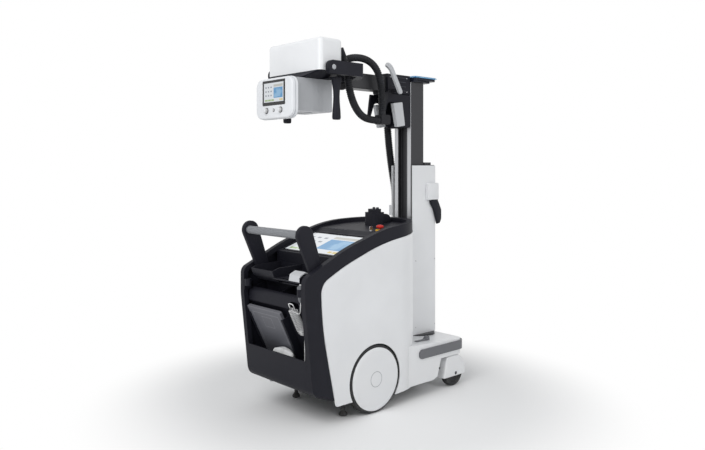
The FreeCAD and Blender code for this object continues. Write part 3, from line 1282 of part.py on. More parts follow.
def boom():
    """Make the telescoping inner arm with its end flange."""
    high = BOOM_BOTTOM + BOOM_HEIGHT
    inner = BOOM_HALF - BOOM_WALL
    outer = prism(oblong(-BOOM_HALF, BOOM_HALF, BOOM_BOTTOM, high, 6), "yz", BOOM_END, BOOM_FRONT)
    bore = prism(oblong(-inner, inner, BOOM_BOTTOM + BOOM_WALL, high - BOOM_WALL, 4), "yz", BOOM_END + 30,
                 BOOM_FRONT + 1)
    flange_face = BOOM_END - FLANGE_THICK
    flange = rod("yz", 0, ARM_Z, FLANGE_RADIUS, flange_face, BOOM_END)
    spigot = rod("yz", 0, ARM_Z, SPIGOT_RADIUS, flange_face - SPIGOT_LENGTH, flange_face)
    return joined(outer.cut(bore), flange, spigot)


def fork():
    """Make the U-shaped fork with rounded tine ends and bevelled rear corners."""
    outer = FORK_INNER + FORK_THICK
    bar = FORK_REAR
    end = PIVOT_X - FORK_HALF_HEIGHT
    inner_bend = FORK_BAR_INNER - 52
    outer_bend = inner_bend + 20
    plan = [(end, -outer, 0), (outer_bend, -outer, 20), (bar, 73 - FORK_INNER, 30), (bar, FORK_INNER - 73, 30),
            (outer_bend, outer, 20), (end, outer, 0), (end, FORK_INNER, 0), (inner_bend, FORK_INNER, 16),
            (FORK_BAR_INNER, FORK_INNER - 87, 24), (FORK_BAR_INNER, 87 - FORK_INNER, 24),
            (inner_bend, -FORK_INNER, 16), (end, -FORK_INNER, 0)]
    low = PIVOT_Z - FORK_HALF_HEIGHT
    high = PIVOT_Z + FORK_HALF_HEIGHT
    shape = prism(plan, "xy", low, high)
    side = [(end, low, FORK_HALF_HEIGHT - 1), (bar + 20, low - 10, 0), (bar + 20, high + 10, 0),
            (end, high, FORK_HALF_HEIGHT - 1)]
    shape = shape.common(prism(side, "xz", -outer - 1, outer + 1))
    shape = shape.cut(rod("yz", 0, ARM_Z, SPIGOT_RADIUS + RUNNING, FORK_BAR_INNER - 1, bar + 1))
    for y0 in (-outer - 1, FORK_INNER - 1):
        shape = shape.cut(rod("xz", PIVOT_X, PIVOT_Z, PIVOT_RADIUS + RUNNING, y0, y0 + FORK_THICK + 2))
    return shape


def trunnion():
    """Make the left trunnion pin that joins the tube cover to the fork."""
    pin = rod("xz", PIVOT_X, PIVOT_Z, PIVOT_RADIUS, COVER_HALF - TRUNNION_GRIP, FORK_INNER + FORK_THICK - 4)
    washer = rod("xz", PIVOT_X, PIVOT_Z, WASHER_RADIUS, COVER_HALF, FORK_INNER - GAP)
    return joined(pin, washer)


# Tube head

def tube_cover():
    """Make the white tube cover with softened edges."""
    plan = oblong(COVER_REAR, COVER_FRONT, -COVER_HALF, COVER_HALF, 22)
    shape = prism(plan, "xy", COVER_BOTTOM, COVER_TOP)
    shape = softened(shape, COVER_SOFT, lambda edge: abs(edge.BoundBox.ZMin - COVER_TOP) < 1e-6)
    for y0 in (-COVER_HALF - 1, COVER_HALF - TRUNNION_GRIP):
        shape = shape.cut(rod("xz", PIVOT_X, PIVOT_Z, PIVOT_RADIUS, y0, y0 + TRUNNION_GRIP + 1))
    return shape


def tube_collar():
    """Make the black tube shell: tapered collar, bearing ring below and cable hood behind."""
    half = COVER_HALF - 2
    top = face(oblong(COVER_REAR + 2, COVER_FRONT - 2, -half, half, 20), "xy", COVER_BOTTOM)
    half = BOX_HALF + 6
    low = face(oblong(COVER_REAR - 22, COVER_FRONT + 30, -half, half, 20), "xy", COLLAR_BOTTOM)
    shape = Part.makeLoft([low.OuterWire, top.OuterWire], True, True)
    for side in (-1, 1):
        shape = shape.cut(rod("xz", PIVOT_X, PIVOT_Z, PIVOT_RADIUS + 12, side * COVER_HALF - 14,
                              side * COVER_HALF + 14))
    gland_low = V(*LOWER_ROUTE[0])
    gland_axis = gland_low - V(*LOWER_ROUTE[1])
    gland = Part.makeCylinder(HOSE_RADIUS + 4, 46, gland_low, gland_axis)
    gland = gland.common(block(HOOD_FACE_X - 12, BOOM_END, -COVER_HALF, COVER_HALF, BOX_TOP, COVER_TOP - 28))
    hood = prism([(COVER_FRONT, COVER_BOTTOM - 8, 0), (HOOD_FACE_X - 10, COVER_BOTTOM - 8, 0),
                  (HOOD_FACE_X, COVER_BOTTOM + 8, 10), (HOOD_FACE_X, COVER_TOP - 64, 14),
                  (COVER_FRONT + 8, COVER_TOP - 30, 20), (COVER_FRONT, COVER_TOP - 26, 0)],
                 "xz", -COVER_HALF + 34, COVER_HALF - 34)
    ring = rod("xy", COLLIMATOR_X, 0, TURN_RING, COLLAR_BOTTOM - TURN_DEPTH, COLLAR_BOTTOM)
    return joined(shape, hood, ring, gland)


def tilt_grip():
    """Make the left hanging grip under the collar."""
    straight = rod("xy", GRIP_X, GRIP_Y, GRIP_RADIUS, GRIP_BOTTOM + GRIP_RADIUS, COLLAR_BOTTOM - 8)
    tip = Part.makeSphere(GRIP_RADIUS, V(GRIP_X, GRIP_Y, GRIP_BOTTOM + GRIP_RADIUS))
    root = block(GRIP_X - 16, GRIP_X + 16, BOX_HALF - 10, GRIP_Y + GRIP_RADIUS, COLLAR_BOTTOM - 12,
                 COLLAR_BOTTOM)
    root = root.cut(rod("xy", COLLIMATOR_X, 0, BOX_HALF * 1.75, BOX_BOTTOM, BOX_TOP))
    return joined(straight, tip, root)


# Collimator

def collimator_box():
    """Make the grey collimator housing."""
    shape = prism(oblong(BOX_REAR, BOX_FRONT, -BOX_HALF, BOX_HALF, 9), "xy", BOX_BOTTOM, BOX_TOP)
    side = [(BOX_REAR, BOX_BOTTOM, 0), (BOX_FRONT, BOX_BOTTOM, 16), (BOX_FRONT, BOX_TOP, 0),
            (BOX_REAR, BOX_TOP, 0)]
    shape = shape.common(prism(side, "xz", -BOX_HALF, BOX_HALF))
    ring_low = COLLAR_BOTTOM - TURN_DEPTH - GAP
    shape = shape.cut(rod("xy", COLLIMATOR_X, 0, TURN_RING + RUNNING, ring_low, BOX_TOP + 1))
    window = oblong(COLLIMATOR_X - WINDOW_HALF, COLLIMATOR_X + WINDOW_HALF, -WINDOW_HALF, WINDOW_HALF, 4)
    window = prism(window, "xy", BOX_BOTTOM - 1, BOX_BOTTOM + 3)
    return shape.cut(window)


def bezel_plan(inset):
    """Give the bezel's front outline, moved inwards by an inset."""
    return oblong(-BEZEL_HALF + inset, BEZEL_HALF - inset, BEZEL_BOTTOM + inset, BEZEL_TOP - inset,
                  BEZEL_CORNER - inset)


def bezel():
    """Make the white display surround: a dished front plate over a wider back rim."""
    split = BEZEL_FACE + 19
    front = prism(bezel_plan(2), "yz", BEZEL_FACE, split)
    front = softened(front, 8.0, lambda edge: abs(edge.BoundBox.XMax - BEZEL_FACE) < 1e-6)
    neck = prism(bezel_plan(7), "yz", split, split + 3)
    rear = prism(bezel_plan(0), "yz", split + 3, BOX_REAR)
    shape = joined(front, neck, rear)
    display = prism(oblong(-DISPLAY_HALF, DISPLAY_HALF, DISPLAY_LOW, DISPLAY_HIGH, 4), "yz", BEZEL_FACE - 1,
                    BEZEL_FACE + DISPLAY_DEPTH)
    shape = shape.cut(display)
    deep = BEZEL_FACE + KNOB_DEPTH + 1
    for y in (-KNOB_Y, KNOB_Y):
        shape = shape.cut(rod("yz", y, KNOB_Z, KNOB_SPINDLE + RUNNING, BEZEL_FACE - 1, deep))
    return shape.cut(rod("yz", 0, KNOB_Z, LIGHT_RADIUS + RUNNING, BEZEL_FACE - 1, BEZEL_FACE + 9))


def display_panel():
    """Make the black display glass set into the bezel."""
    half = DISPLAY_HALF - GAP
    return prism(oblong(-half, half, DISPLAY_LOW + GAP, DISPLAY_HIGH - GAP, 4), "yz", BEZEL_FACE + 1,
                 BEZEL_FACE + DISPLAY_DEPTH)


def field_knob(y):
    """Make one field-size knob with its spindle."""
    tip = BEZEL_FACE - KNOB_DEPTH
    seat = BEZEL_FACE - 0.5
    body = rod("yz", y, KNOB_Z, KNOB_RADIUS, tip, seat)
    body = body.makeChamfer(1.5, [edge for edge in body.Edges if abs(edge.BoundBox.XMax - tip) < 1e-6])
    flutes = []
    for index in range(FLUTES):
        angle = 2 * math.pi * index / FLUTES
        fy = y + (KNOB_RADIUS + 1.2) * math.cos(angle)
        fz = KNOB_Z + (KNOB_RADIUS + 1.2) * math.sin(angle)
        flutes.append(rod("yz", fy, fz, 2.2, tip - 1, BEZEL_FACE - 4))
    spindle = rod("yz", y, KNOB_Z, KNOB_SPINDLE, seat, BEZEL_FACE + KNOB_DEPTH)
    return joined(body.cut(Part.makeCompound(flutes)), spindle)


def light_button():
    """Make the field-light push button."""
    return rod("yz", 0, KNOB_Z, LIGHT_RADIUS, BEZEL_FACE - 4, BEZEL_FACE + 6)


# Emergency stop and other controls

def estop_base():
    """Make the yellow collar of the emergency stop."""
    z = shelf_z(ESTOP_X)
    rear = ESTOP_X - 2 * ESTOP_BASE
    front = ESTOP_X + 2 * ESTOP_BASE
    base = rod("xy", ESTOP_X, ESTOP_Y, ESTOP_BASE, z - CONSOLE_THICK, z + 8)
    slope = sharp([(rear, shelf_z(rear)), (front, shelf_z(front)), (front, z - 2 * CONSOLE_THICK),
                   (rear, z - 2 * CONSOLE_THICK)])
    return base.cut(prism(slope, "xz", ESTOP_Y - 2 * ESTOP_BASE, ESTOP_Y + 2 * ESTOP_BASE))


def estop_button():
    """Make the red mushroom head with its plunger."""
    z = shelf_z(ESTOP_X)
    corners = [(0, z - 12, 0), (ESTOP_STEM, z - 12, 0), (ESTOP_STEM, z + 14, 0), (ESTOP_HEAD - 3, z + 15, 0),
               (ESTOP_HEAD, z + 22, 0), (ESTOP_HEAD - 4, z + 30, 8), (0, z + 32, 0)]
    solid = face(corners, "xz", 0).revolve(V(0, 0, 0), V(0, 0, 1), 360)
    solid.translate(V(ESTOP_X, ESTOP_Y, 0))
    return solid


def key_switch():
    """Make the key of the main switch, standing in its round barrel hole."""
    z = shelf_z(KEY_X)
    barrel = rod("xy", KEY_X, KEY_Y, KEY_RADIUS, z - KEY_DEPTH, z + 5)
    blade = prism(oblong(KEY_X - 12, KEY_X + 12, z + 5, z + 24, 5), "xz", KEY_Y - 1.5, KEY_Y + 1.5)
    return joined(barrel, blade)


def swivel_lock():
    """Make the column's turning lock: a wedge-shaped knob with a thin tail."""
    z = deck_z(LOCK_X)
    side = [(LOCK_X + 14, z + 1.5, 0), (LOCK_X + 12, z + 24, 8), (LOCK_X - 12, z + 24, 8),
            (LOCK_X - 22, z + 8, 20), (LOCK_X - 90, z + 9.5, 3), (LOCK_X - 90, z + 5.5, 0)]
    body = prism(side, "xz", LOCK_Y - 9, LOCK_Y + 9)
    pin = rod("xy", LOCK_X, LOCK_Y, LOCK_PIN, z - 24, z + 6)
    return joined(body, pin)


def battery_pack():
    """Make the two battery blocks that stand on the chassis rails."""
    top = RAIL_TOP + BATTERY_HEIGHT
    packs = []
    for x0 in (BATTERY_X, BATTERY_X + BATTERY_LENGTH + 6):
        middle = x0 + BATTERY_LENGTH / 2
        pack = block(x0, x0 + BATTERY_LENGTH, -RAIL_Y - 20, RAIL_Y + 20, RAIL_TOP, top)
        posts = [rod("xy", middle, y, 9, top, top + 12) for y in (-POST_SPREAD, POST_SPREAD)]
        packs.append(joined(pack, *posts))
    return packs


def write_all():
    """Build every node and write it."""
    os.makedirs("parts", exist_ok=True)
    moving = {"caster_hood": caster_hood(), "caster_wheel": caster_wheel(), "drive_wheel": drive_wheel(),
              "drive_tyre": drive_tyre()}
    for name, shape in moving.items():
        save(name + "_left", shape)
        save(name + "_right", mirrored(shape))
    pairs = {"side_frames": side_frame(), "side_panels": side_panel(), "handle_arms": handle_arm(),
             "drive_motors": drive_motor(), "side_pads": side_pad(), "stabiliser_feet": stabiliser_foot(),
             "trunnions": trunnion(), "tilt_grips": tilt_grip()}
    for name, shape in pairs.items():
        save(name, shape, mirrored(shape))
    singles = {"front_cover": front_cover(), "console_top": console_top(),
               "screen_glass": screen_glass(), "detector": detector(), "lower_pocket": lower_pocket(),
               "middle_bin": middle_bin(), "upper_tray": upper_tray(), "hand_switch": hand_switch(),
               "switch_button": switch_button(),
               "handle_bar": handle_bar(), "base_cover": base_cover(), "bumper_strip": bumper_strip(),
               "chassis_frame": chassis(), "column_casing": column_casing(),
               "column_post": column_post(), "casing_hook": casing_hook(),
               "mast": mast(), "lift_belt": lift_belt(), "mast_cap": mast_cap(), "carriage": carriage(),
               "arm_housing": arm_housing(), "hose_hanger": hose_hanger(),
               "boom": boom(), "fork": fork(), "tube_cover": tube_cover(), "tube_collar": tube_collar(),
               "collimator_box": collimator_box(), "display_bezel": bezel(), "display_panel": display_panel(),
               "field_knob_left": field_knob(KNOB_Y), "field_knob_right": field_knob(-KNOB_Y),
               "light_button": light_button(), "estop_button": estop_button(),
               "key_switch": key_switch(), "swivel_lock": swivel_lock(), "cable_pouch": pouch(),
               "cord_hank": cord_hank()}
    for name, shape in singles.items():
        save(name, shape)
    save("mast_rails", *mast_rails())
    save("battery_pack", *battery_pack())
    save("switch_cord", *switch_cords())
    save("hose_upper", tube(UPPER_ROUTE, HOSE_RADIUS, "upper hose"))
    save("hose_lower", tube(LOWER_ROUTE, HOSE_RADIUS, "lower hose"))
    save("hose_drop", tube(DROP_ROUTE, DROP_RADIUS, "drop hose"))


write_all()
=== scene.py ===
# %% [markdown]
# # Dressing a mobile x-ray machine
# The engineering solids of the machine are loaded as a fixed frame, in metres, with the floor at
# zero. The lesson then adds what a picture needs: a camera, light, hoses, finishes and small parts.
# Nothing is moved, so each new part is written at the place that the solids give it.

# %% Load the solids
import math
import bmesh
import bpy
from mathutils import Matrix, Vector


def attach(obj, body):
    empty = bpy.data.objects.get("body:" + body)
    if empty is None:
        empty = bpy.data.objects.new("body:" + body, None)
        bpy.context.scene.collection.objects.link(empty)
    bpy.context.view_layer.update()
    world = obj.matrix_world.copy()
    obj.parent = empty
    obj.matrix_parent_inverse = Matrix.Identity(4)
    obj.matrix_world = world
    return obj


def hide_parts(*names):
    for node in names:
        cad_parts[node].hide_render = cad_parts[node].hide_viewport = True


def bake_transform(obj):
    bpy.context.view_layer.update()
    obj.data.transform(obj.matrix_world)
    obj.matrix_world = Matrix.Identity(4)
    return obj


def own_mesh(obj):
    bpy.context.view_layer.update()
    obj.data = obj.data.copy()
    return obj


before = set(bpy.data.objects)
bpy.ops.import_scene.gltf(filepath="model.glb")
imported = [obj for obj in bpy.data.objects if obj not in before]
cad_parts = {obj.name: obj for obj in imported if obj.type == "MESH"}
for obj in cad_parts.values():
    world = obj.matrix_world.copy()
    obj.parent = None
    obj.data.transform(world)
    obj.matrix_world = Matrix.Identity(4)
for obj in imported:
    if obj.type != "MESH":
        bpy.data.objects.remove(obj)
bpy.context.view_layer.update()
print("solids loaded:", len(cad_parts))

# %% [markdown]
# The drawings measure along the machine from its drive axle, in millimetres. A short helper turns
# such a point into metres in the frame, whose origin is under the middle of the machine. It keeps
# the numbers of this script the same as the numbers on the drawings.

# %% From the drawings to the scene
AXLE_SHIFT = 136


def at(x, y, z):
    """Turn millimetres from the drive axle into a point of the scene."""
    return Vector(((x - AXLE_SHIFT) / 1000, y / 1000, z / 1000))


print("drive axle at", tuple(at(0, 0, 170)))

# %% [markdown]
# ## The camera
# The picture looks at the machine from behind its operator's side, a little below the tube head. The
# lens has no tilt: upright edges stay upright, and the frame is shifted down on the sensor instead,
# as with an architect's camera.

# %% Make the camera
lens = bpy.data.cameras.new("picture_camera")
lens.sensor_width = 36
lens.lens = 35.949
lens.shift_y = -0.08188
lens.clip_end = 60
camera = bpy.data.objects.new("picture_camera", lens)
camera.location = at(-2462.5, -2812.8, 1233.7)
camera.rotation_euler = (math.pi / 2, 0, math.radians(-42.22))
bpy.context.scene.collection.objects.link(camera)
bpy.context.scene.camera = camera
print("camera at", [round(value, 3) for value in camera.location])

# %% [markdown]
# ## Writing finishes as sums
# A finish is a small network of shader nodes. Drawing it by hand takes a node for every plus sign,
# so one class wraps a socket and lets Python's own signs add the Math nodes. A second class owns one
# material and makes every other kind of node.

# %% Sums on sockets
class Value:
    """A shader value that takes part in sums."""

    def __init__(self, finish, socket):
        self.finish = finish
        self.socket = socket

    def sum(self, operation, first, second):
        return self.finish.node("ShaderNodeMath", {"operation": operation}, first, second)

    def __add__(self, other):
        return self.sum("ADD", self, other)

    def __sub__(self, other):
        return self.sum("SUBTRACT", self, other)

    def __rsub__(self, other):
        return self.sum("SUBTRACT", other, self)

    def __mul__(self, other):
        return self.sum("MULTIPLY", self, other)

    def __truediv__(self, other):
        return self.sum("DIVIDE", self, other)

    def __gt__(self, other):
        return self.sum("GREATER_THAN", self, other)

    def __lt__(self, other):
        return self.sum("LESS_THAN", self, other)

    def __mod__(self, other):
        return self.sum("FLOORED_MODULO", self, other)

    __radd__ = __add__
    __rmul__ = __mul__


class Finish:
    """One material of the machine and the nodes that make it."""

    def __init__(self, name):
        self.material = bpy.data.materials.new(name)
        self.material.use_nodes = True
        self.tree = self.material.node_tree
        self.tree.nodes.clear()
        self.place = self.node("ShaderNodeTexCoord", out="Object")
        self.x, self.y, self.z = self.split(self.place)

    def feed(self, socket, value):
        if isinstance(value, Value):
            self.tree.links.new(value.socket, socket)
        elif value is not None:
            socket.default_value = value

    def node(self, kind, settings=None, *values, out=0, **named):
        made = self.tree.nodes.new(kind)
        for key, setting in (settings or {}).items():
            if key == "stops":
                self.set_stops(made.color_ramp, setting)
            else:
                setattr(made, key, setting)
        for index, value in enumerate(values):
            self.feed(made.inputs[index], value)
        for key, value in named.items():
            self.feed(made.inputs[key.replace("_", " ")], value)
        return Value(self, made.outputs[out]) if made.outputs else None

    def set_stops(self, ramp, stops):
        ramp.elements[0].position, ramp.elements[0].color = stops[0]
        ramp.elements[1].position, ramp.elements[1].color = stops[-1]
        for position, colour in stops[1:-1]:
            ramp.elements.new(position).color = colour

    def split(self, vector):
        self.node("ShaderNodeSeparateXYZ", None, vector)
        outputs = self.tree.nodes[-1].outputs
        return [Value(self, outputs[index]) for index in range(3)]

    def noise(self, scale, detail=2, stretch=None):
        where = self.place
        if stretch:
            where = self.node("ShaderNodeMapping", None, where, None, None, stretch)
        return self.node("ShaderNodeTexNoise", None, where, Scale=scale, Detail=detail)

    def blend(self, first, second, share):
        return self.node("ShaderNodeMix", {"data_type": "RGBA"}, share, None, None, None, None, None,
                         first, second, out=2)

    def within(self, value, low, high):
        return (value > low) * (value < high)

    def fade(self, value, low, high):
        return self.node("ShaderNodeMapRange", {"interpolation_type": "SMOOTHSTEP"}, value, low, high,
                         0.0, 1.0)

    def close(self, colour, roughness, height=None, depth=0.0, **named):
        normal = self.node("ShaderNodeBevel", {"samples": 3}, 0.0014)
        if height is not None:
            normal = self.node("ShaderNodeBump", None, Strength=1.0, Distance=depth, Height=height,
                               Normal=normal)
        shader = self.node("ShaderNodeBsdfPrincipled", None, Base_Color=colour, Roughness=roughness,
                           Normal=normal, **named)
        self.node("ShaderNodeOutputMaterial", None, shader)
        return self.material


def tone(colour, strength=1.0):
    """Give a colour with its strength changed, as four channels."""
    return (*[min(1.0, channel * strength) for channel in colour], 1.0)


print("finish tools ready")

# %% [markdown]
# ## Hoses and cords
# Each hose keeps the route that its solid has: a few points that a smooth line passes near. The big
# hoses are ribbed tubes, so a straight tube is turned from a rib profile and then bent along the
# route. Doing it the other way round, ring by ring, would need much more code.

# %% The smooth line of a route
def smooth_line(name, points):
    """Make the smooth curve that a hose or cord follows."""
    curve = bpy.data.curves.new(name, "CURVE")
    curve.dimensions = "3D"
    curve.resolution_u = 24
    spline = curve.splines.new("NURBS")
    spline.points.add(len(points) - 1)
    for target, point in zip(spline.points, points):
        target.co = (*point, 1)
    spline.order_u = 3
    spline.use_endpoint_u = True
    obj = bpy.data.objects.new(name, curve)
    bpy.context.scene.collection.objects.link(obj)
    return obj


def read_line(line):
    """Read a curve's smooth line as points."""
    bpy.context.view_layer.update()
    graph = bpy.context.evaluated_depsgraph_get()
    mesh = bpy.data.meshes.new_from_object(line.evaluated_get(graph))
    return [vertex.co.copy() for vertex in mesh.vertices]


def length_of(points):
    """Add up a line's length."""
    return sum((b - a).length for a, b in zip(points, points[1:]))


def turned(outline, steps, axis="Z", centre=(0, 0, 0)):
    """Turn an outline of (radius, height) pairs round an axis into a closed bmesh."""
    bm = bmesh.new()
    chain = [bm.verts.new((radius, 0, height)) for radius, height in outline]
    edges = [bm.edges.new(pair) for pair in zip(chain, chain[1:])]
    bmesh.ops.spin(bm, geom=chain + edges, cent=(0, 0, 0), axis=(0, 0, 1), angle=2 * math.pi,
                   steps=steps, use_merge=True)
    bmesh.ops.remove_doubles(bm, verts=bm.verts, dist=1e-6)
    bmesh.ops.recalc_face_normals(bm, faces=bm.faces)
    lay = {"X": Matrix.Rotation(math.pi / 2, 4, "Y"), "Y": Matrix.Rotation(-math.pi / 2, 4, "X"),
           "Z": Matrix.Identity(4)}[axis]
    bmesh.ops.transform(bm, matrix=Matrix.Translation(centre) @ lay, verts=bm.verts)
    return bm


def finished(name, bm, body, material, smooth=35.0, replaces=()):
    """Turn a bmesh into a piece that rides on a body, or stays unattached when no body is given."""
    bm.normal_update()
    for face in bm.faces:
        face.smooth = smooth > 0
    for edge in bm.edges:
        edge.smooth = not (edge.is_manifold and edge.calc_face_angle(0.0) > math.radians(smooth))
    mesh = bpy.data.meshes.new(name)
    bm.to_mesh(mesh)
    bm.free()
    mesh.materials.append(material)
    obj = bpy.data.objects.new(name, mesh)
    bpy.context.scene.collection.objects.link(obj)
    if body:
        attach(obj, body)
    if replaces:
        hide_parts(*replaces)
    return obj


print("route and turning tools ready")

# %% [markdown]
# The hoses are black rubber with a dull bloom in patches. A fine noise breaks up the gloss, and a
# slower one the colour.

# %% Hose and cord finishes
def rubber(name, colour, roughness, grain):
    """Make a dull rubber with bloom and fine grain."""
    finish = Finish(name)
    bloom = finish.noise(14, 4)
    fine = finish.noise(grain, 3)
    body = finish.blend(tone(colour, 0.8), tone(colour, 1.5), finish.fade(bloom, 0.35, 0.75))
    return finish.close(body, fine * 0.25 + roughness, fine, 0.00006, Specular_IOR_Level=0.25)


hose_rubber = rubber("hose_rubber", (0.012, 0.0125, 0.016), 0.42, 700)
print("finish:", hose_rubber.name)

# %% Ribbed hoses
HOSES = {
    "hose_upper": (None, [(-0.277, -0.092, 1.768), (-0.214, -0.092, 1.768), (-0.146, -0.092, 1.806),
                    (-0.041, -0.092, 1.812), (0.036, -0.092, 1.778), (0.076, -0.092, 1.708),
                    (0.086, -0.092, 1.620), (0.086, -0.092, 1.518)], 0.039),
    "hose_lower": (None, [(-0.250, -0.150, 1.788), (-0.218, -0.150, 1.727), (-0.208, -0.148, 1.648),
                    (-0.168, -0.136, 1.568), (-0.102, -0.114, 1.512), (-0.018, -0.092, 1.486),
                    (0.062, -0.092, 1.486)], 0.039),
    "hose_drop": ("column", [(0.323, 0.108, 1.628), (0.323, 0.108, 1.555), (0.330, 0.108, 1.450),
                   (0.345, 0.108, 1.330), (0.367, 0.108, 1.210), (0.394, 0.108, 1.095),
                   (0.394, 0.108, 1.010)], 0.044),
}
RIB_PITCH = 0.0105


def rib_outline(length, radius):
    """Draw the ribbed side of a straight hose, with a plain cuff at each end."""
    valley = radius * 0.86
    cuff = 0.022
    count = int((length - 2 * cuff) / RIB_PITCH)
    pitch = (length - 2 * cuff) / count
    outline = [(0, 0), (radius, 0), (radius, cuff - 0.002)]
    for index in range(count):
        low = cuff + index * pitch
        outline += [(valley, low), (valley, low + pitch * 0.25), (radius, low + pitch * 0.45),
                    (radius, low + pitch * 0.85)]
    return outline + [(valley, length - cuff), (radius, length - cuff + 0.002), (radius, length), (0, length)]


def ribbed_hose(name, body, points, diameter):
    """Bend a straight ribbed tube along a hose's route."""
    line = smooth_line(name + "_line", points)
    path = read_line(line)
    length = length_of(path)
    bm = turned(rib_outline(length, diameter / 2), 18, "X")
    hose = finished(name + "_ribbed", bm, body, hose_rubber, 50, [name])
    bend = hose.modifiers.new("bend", "CURVE")
    bend.object = line
    bend.deform_axis = "POS_X"
    bpy.context.view_layer.update()
    graph = bpy.context.evaluated_depsgraph_get()
    hose.data = bpy.data.meshes.new_from_object(hose.evaluated_get(graph))
    hose.modifiers.clear()
    bpy.data.objects.remove(line)
    print(name, "length", round(length, 3), "m, faces", len(hose.data.polygons))
    return hose


for hose_name, (hose_body, hose_points, hose_diameter) in HOSES.items():
    made_hose = ribbed_hose(hose_name, hose_body, hose_points, hose_diameter)
    if hose_body:
        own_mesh(made_hose)
    else:
        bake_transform(made_hose)

# %% [markdown]
# The hand switch hangs on a white curly cord. It leaves the switch as a plain cord, is wound into a
# helix that hangs in two folds, goes over the top and down through the middle of the first fold, and
# then drops into the lower pocket. All of it is one line, so the turns are simply more points.

# %% The curly cord
CORD_WIDTH = 0.005
SWITCH_LEAD = [(-0.570, -0.217, 0.602), (-0.570, -0.217, 0.568), (-0.565, -0.203, 0.541)]
POCKET_LEAD = [(-0.4995, -0.159, 0.4215), (-0.4995, -0.159, 0.350), (-0.496, -0.157, 0.278),
               (-0.496, -0.157, 0.206)]
LEAN = math.radians(26)
HANK_AXIS = Vector((math.sin(LEAN), 0, -math.cos(LEAN)))
HANK_OUT = Vector((-math.cos(LEAN), 0, -math.sin(LEAN)))
HANK_TOP = at(-427, 0, 530) + 0.0157 * -HANK_OUT
HANK_NEAR = -0.159
HANK_FAR = -0.125
HANK_START = -0.022
HANK_END = 0.096
COIL_RADIUS = 0.0114
COIL_PITCH = 0.0088


def hank_point(depth, y):
    """Give a point of the hank's middle plane, depth metres down its lean."""
    point = HANK_TOP + HANK_AXIS * depth
    return Vector((point.x, y, point.z))


def hank_core():
    """Give the line round which the cord is wound: down, round the bottom and up again."""
    steps = 24
    down = [hank_point(HANK_START + (HANK_END - HANK_START) * i / steps, HANK_NEAR) for i in range(steps)]
    middle = (HANK_NEAR + HANK_FAR) / 2
    bow = (HANK_FAR - HANK_NEAR) / 2
    turn = [hank_point(HANK_END + bow * math.sin(math.pi * i / steps),
                       middle - bow * math.cos(math.pi * i / steps)) for i in range(steps)]
    up = [hank_point(HANK_END + (HANK_START - HANK_END) * i / steps, HANK_FAR) for i in range(steps + 1)]
    return down + turn + up


def wound(core, radius, pitch, per_turn=10):
    """Wind a helix round a line that lies in the hank's plane."""
    length = length_of(core)
    count = int(length / pitch * per_turn)
    points = []
    travelled = 0.0
    index = 0
    for step in range(count):
        target = length * step / count
        while travelled + (core[index + 1] - core[index]).length < target:
            travelled += (core[index + 1] - core[index]).length
            index += 1
        ahead = (core[index + 1] - core[index]).normalized()
        centre = core[index] + ahead * (target - travelled)
        angle = 2 * math.pi * step / per_turn
        side = ahead.cross(HANK_OUT).normalized()
        points.append(centre + (HANK_OUT * math.cos(angle) + side * math.sin(angle)) * radius)
    return points


def hank_return():
    """Give the arch over the top and the way down through the near fold."""
    top = HANK_START - 0.014
    arch = [hank_point(top, HANK_FAR), hank_point(top - 0.014, HANK_FAR + 0.004),
            hank_point(top - 0.020, (HANK_NEAR + HANK_FAR) / 2), hank_point(top - 0.014, HANK_NEAR - 0.004),
            hank_point(top, HANK_NEAR)]
    bore = [hank_point(depth, HANK_NEAR) for depth in (0.0, 0.05)]
    return arch + bore + [hank_point(HANK_END - 0.002, HANK_NEAR + 0.001)]


cord_points = [Vector(point) for point in SWITCH_LEAD] + wound(hank_core(), COIL_RADIUS, COIL_PITCH)
cord_points += hank_return() + [Vector(point) for point in POCKET_LEAD]
curly_cord = smooth_line("curly_cord", cord_points)
curly_cord.data.resolution_u = 3
print("curly cord points", len(cord_points), "length", round(length_of(read_line(curly_cord)), 2))
curly_cord.data.bevel_depth = CORD_WIDTH / 2
curly_cord.data.bevel_resolution = 2
white_cord = rubber("white_cord", (0.70, 0.70, 0.71), 0.42, 1200)
curly_cord.data.materials.append(white_cord)
cord_length = length_of(read_line(smooth_line("cord_measure", cord_points)))
bpy.data.objects.remove(bpy.data.objects["cord_measure"])
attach(curly_cord, "cart")
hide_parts("switch_cord", "cord_hank")

# %% [markdown]
# ## Finishes of the housings
# The white covers are sprayed plastic: a faint orange peel, a light coat and a breath of dust near the
# floor. The dark shells are moulded with a fine grain. The mast and rails are drawn metal, so their
# marks run upwards. Every finish also rounds its edges a little with the Bevel node, as the mould does.

# %% White, dark and grey covers
def sprayed(name, colour, roughness, coat=0.12):
    """Make a sprayed plastic cover with orange peel and dust low down."""
    finish = Finish(name)
    clouds = finish.noise(3.5, 4)
    peel = finish.noise(420, 2)
    low = finish.fade(finish.z, 0.55, 0.05) * finish.fade(clouds, 0.3, 0.7)
    body = finish.blend(tone(colour, 0.97), tone(colour, 1.03), finish.fade(clouds, 0.3, 0.7))
    body = finish.blend(body, (0.58, 0.56, 0.53, 1), low * 0.16)
    smear = finish.fade(finish.noise(22, 5), 0.45, 0.8)
    return finish.close(body, smear * 0.12 + roughness + low * 0.1, peel, 0.00003, Coat_Weight=coat)


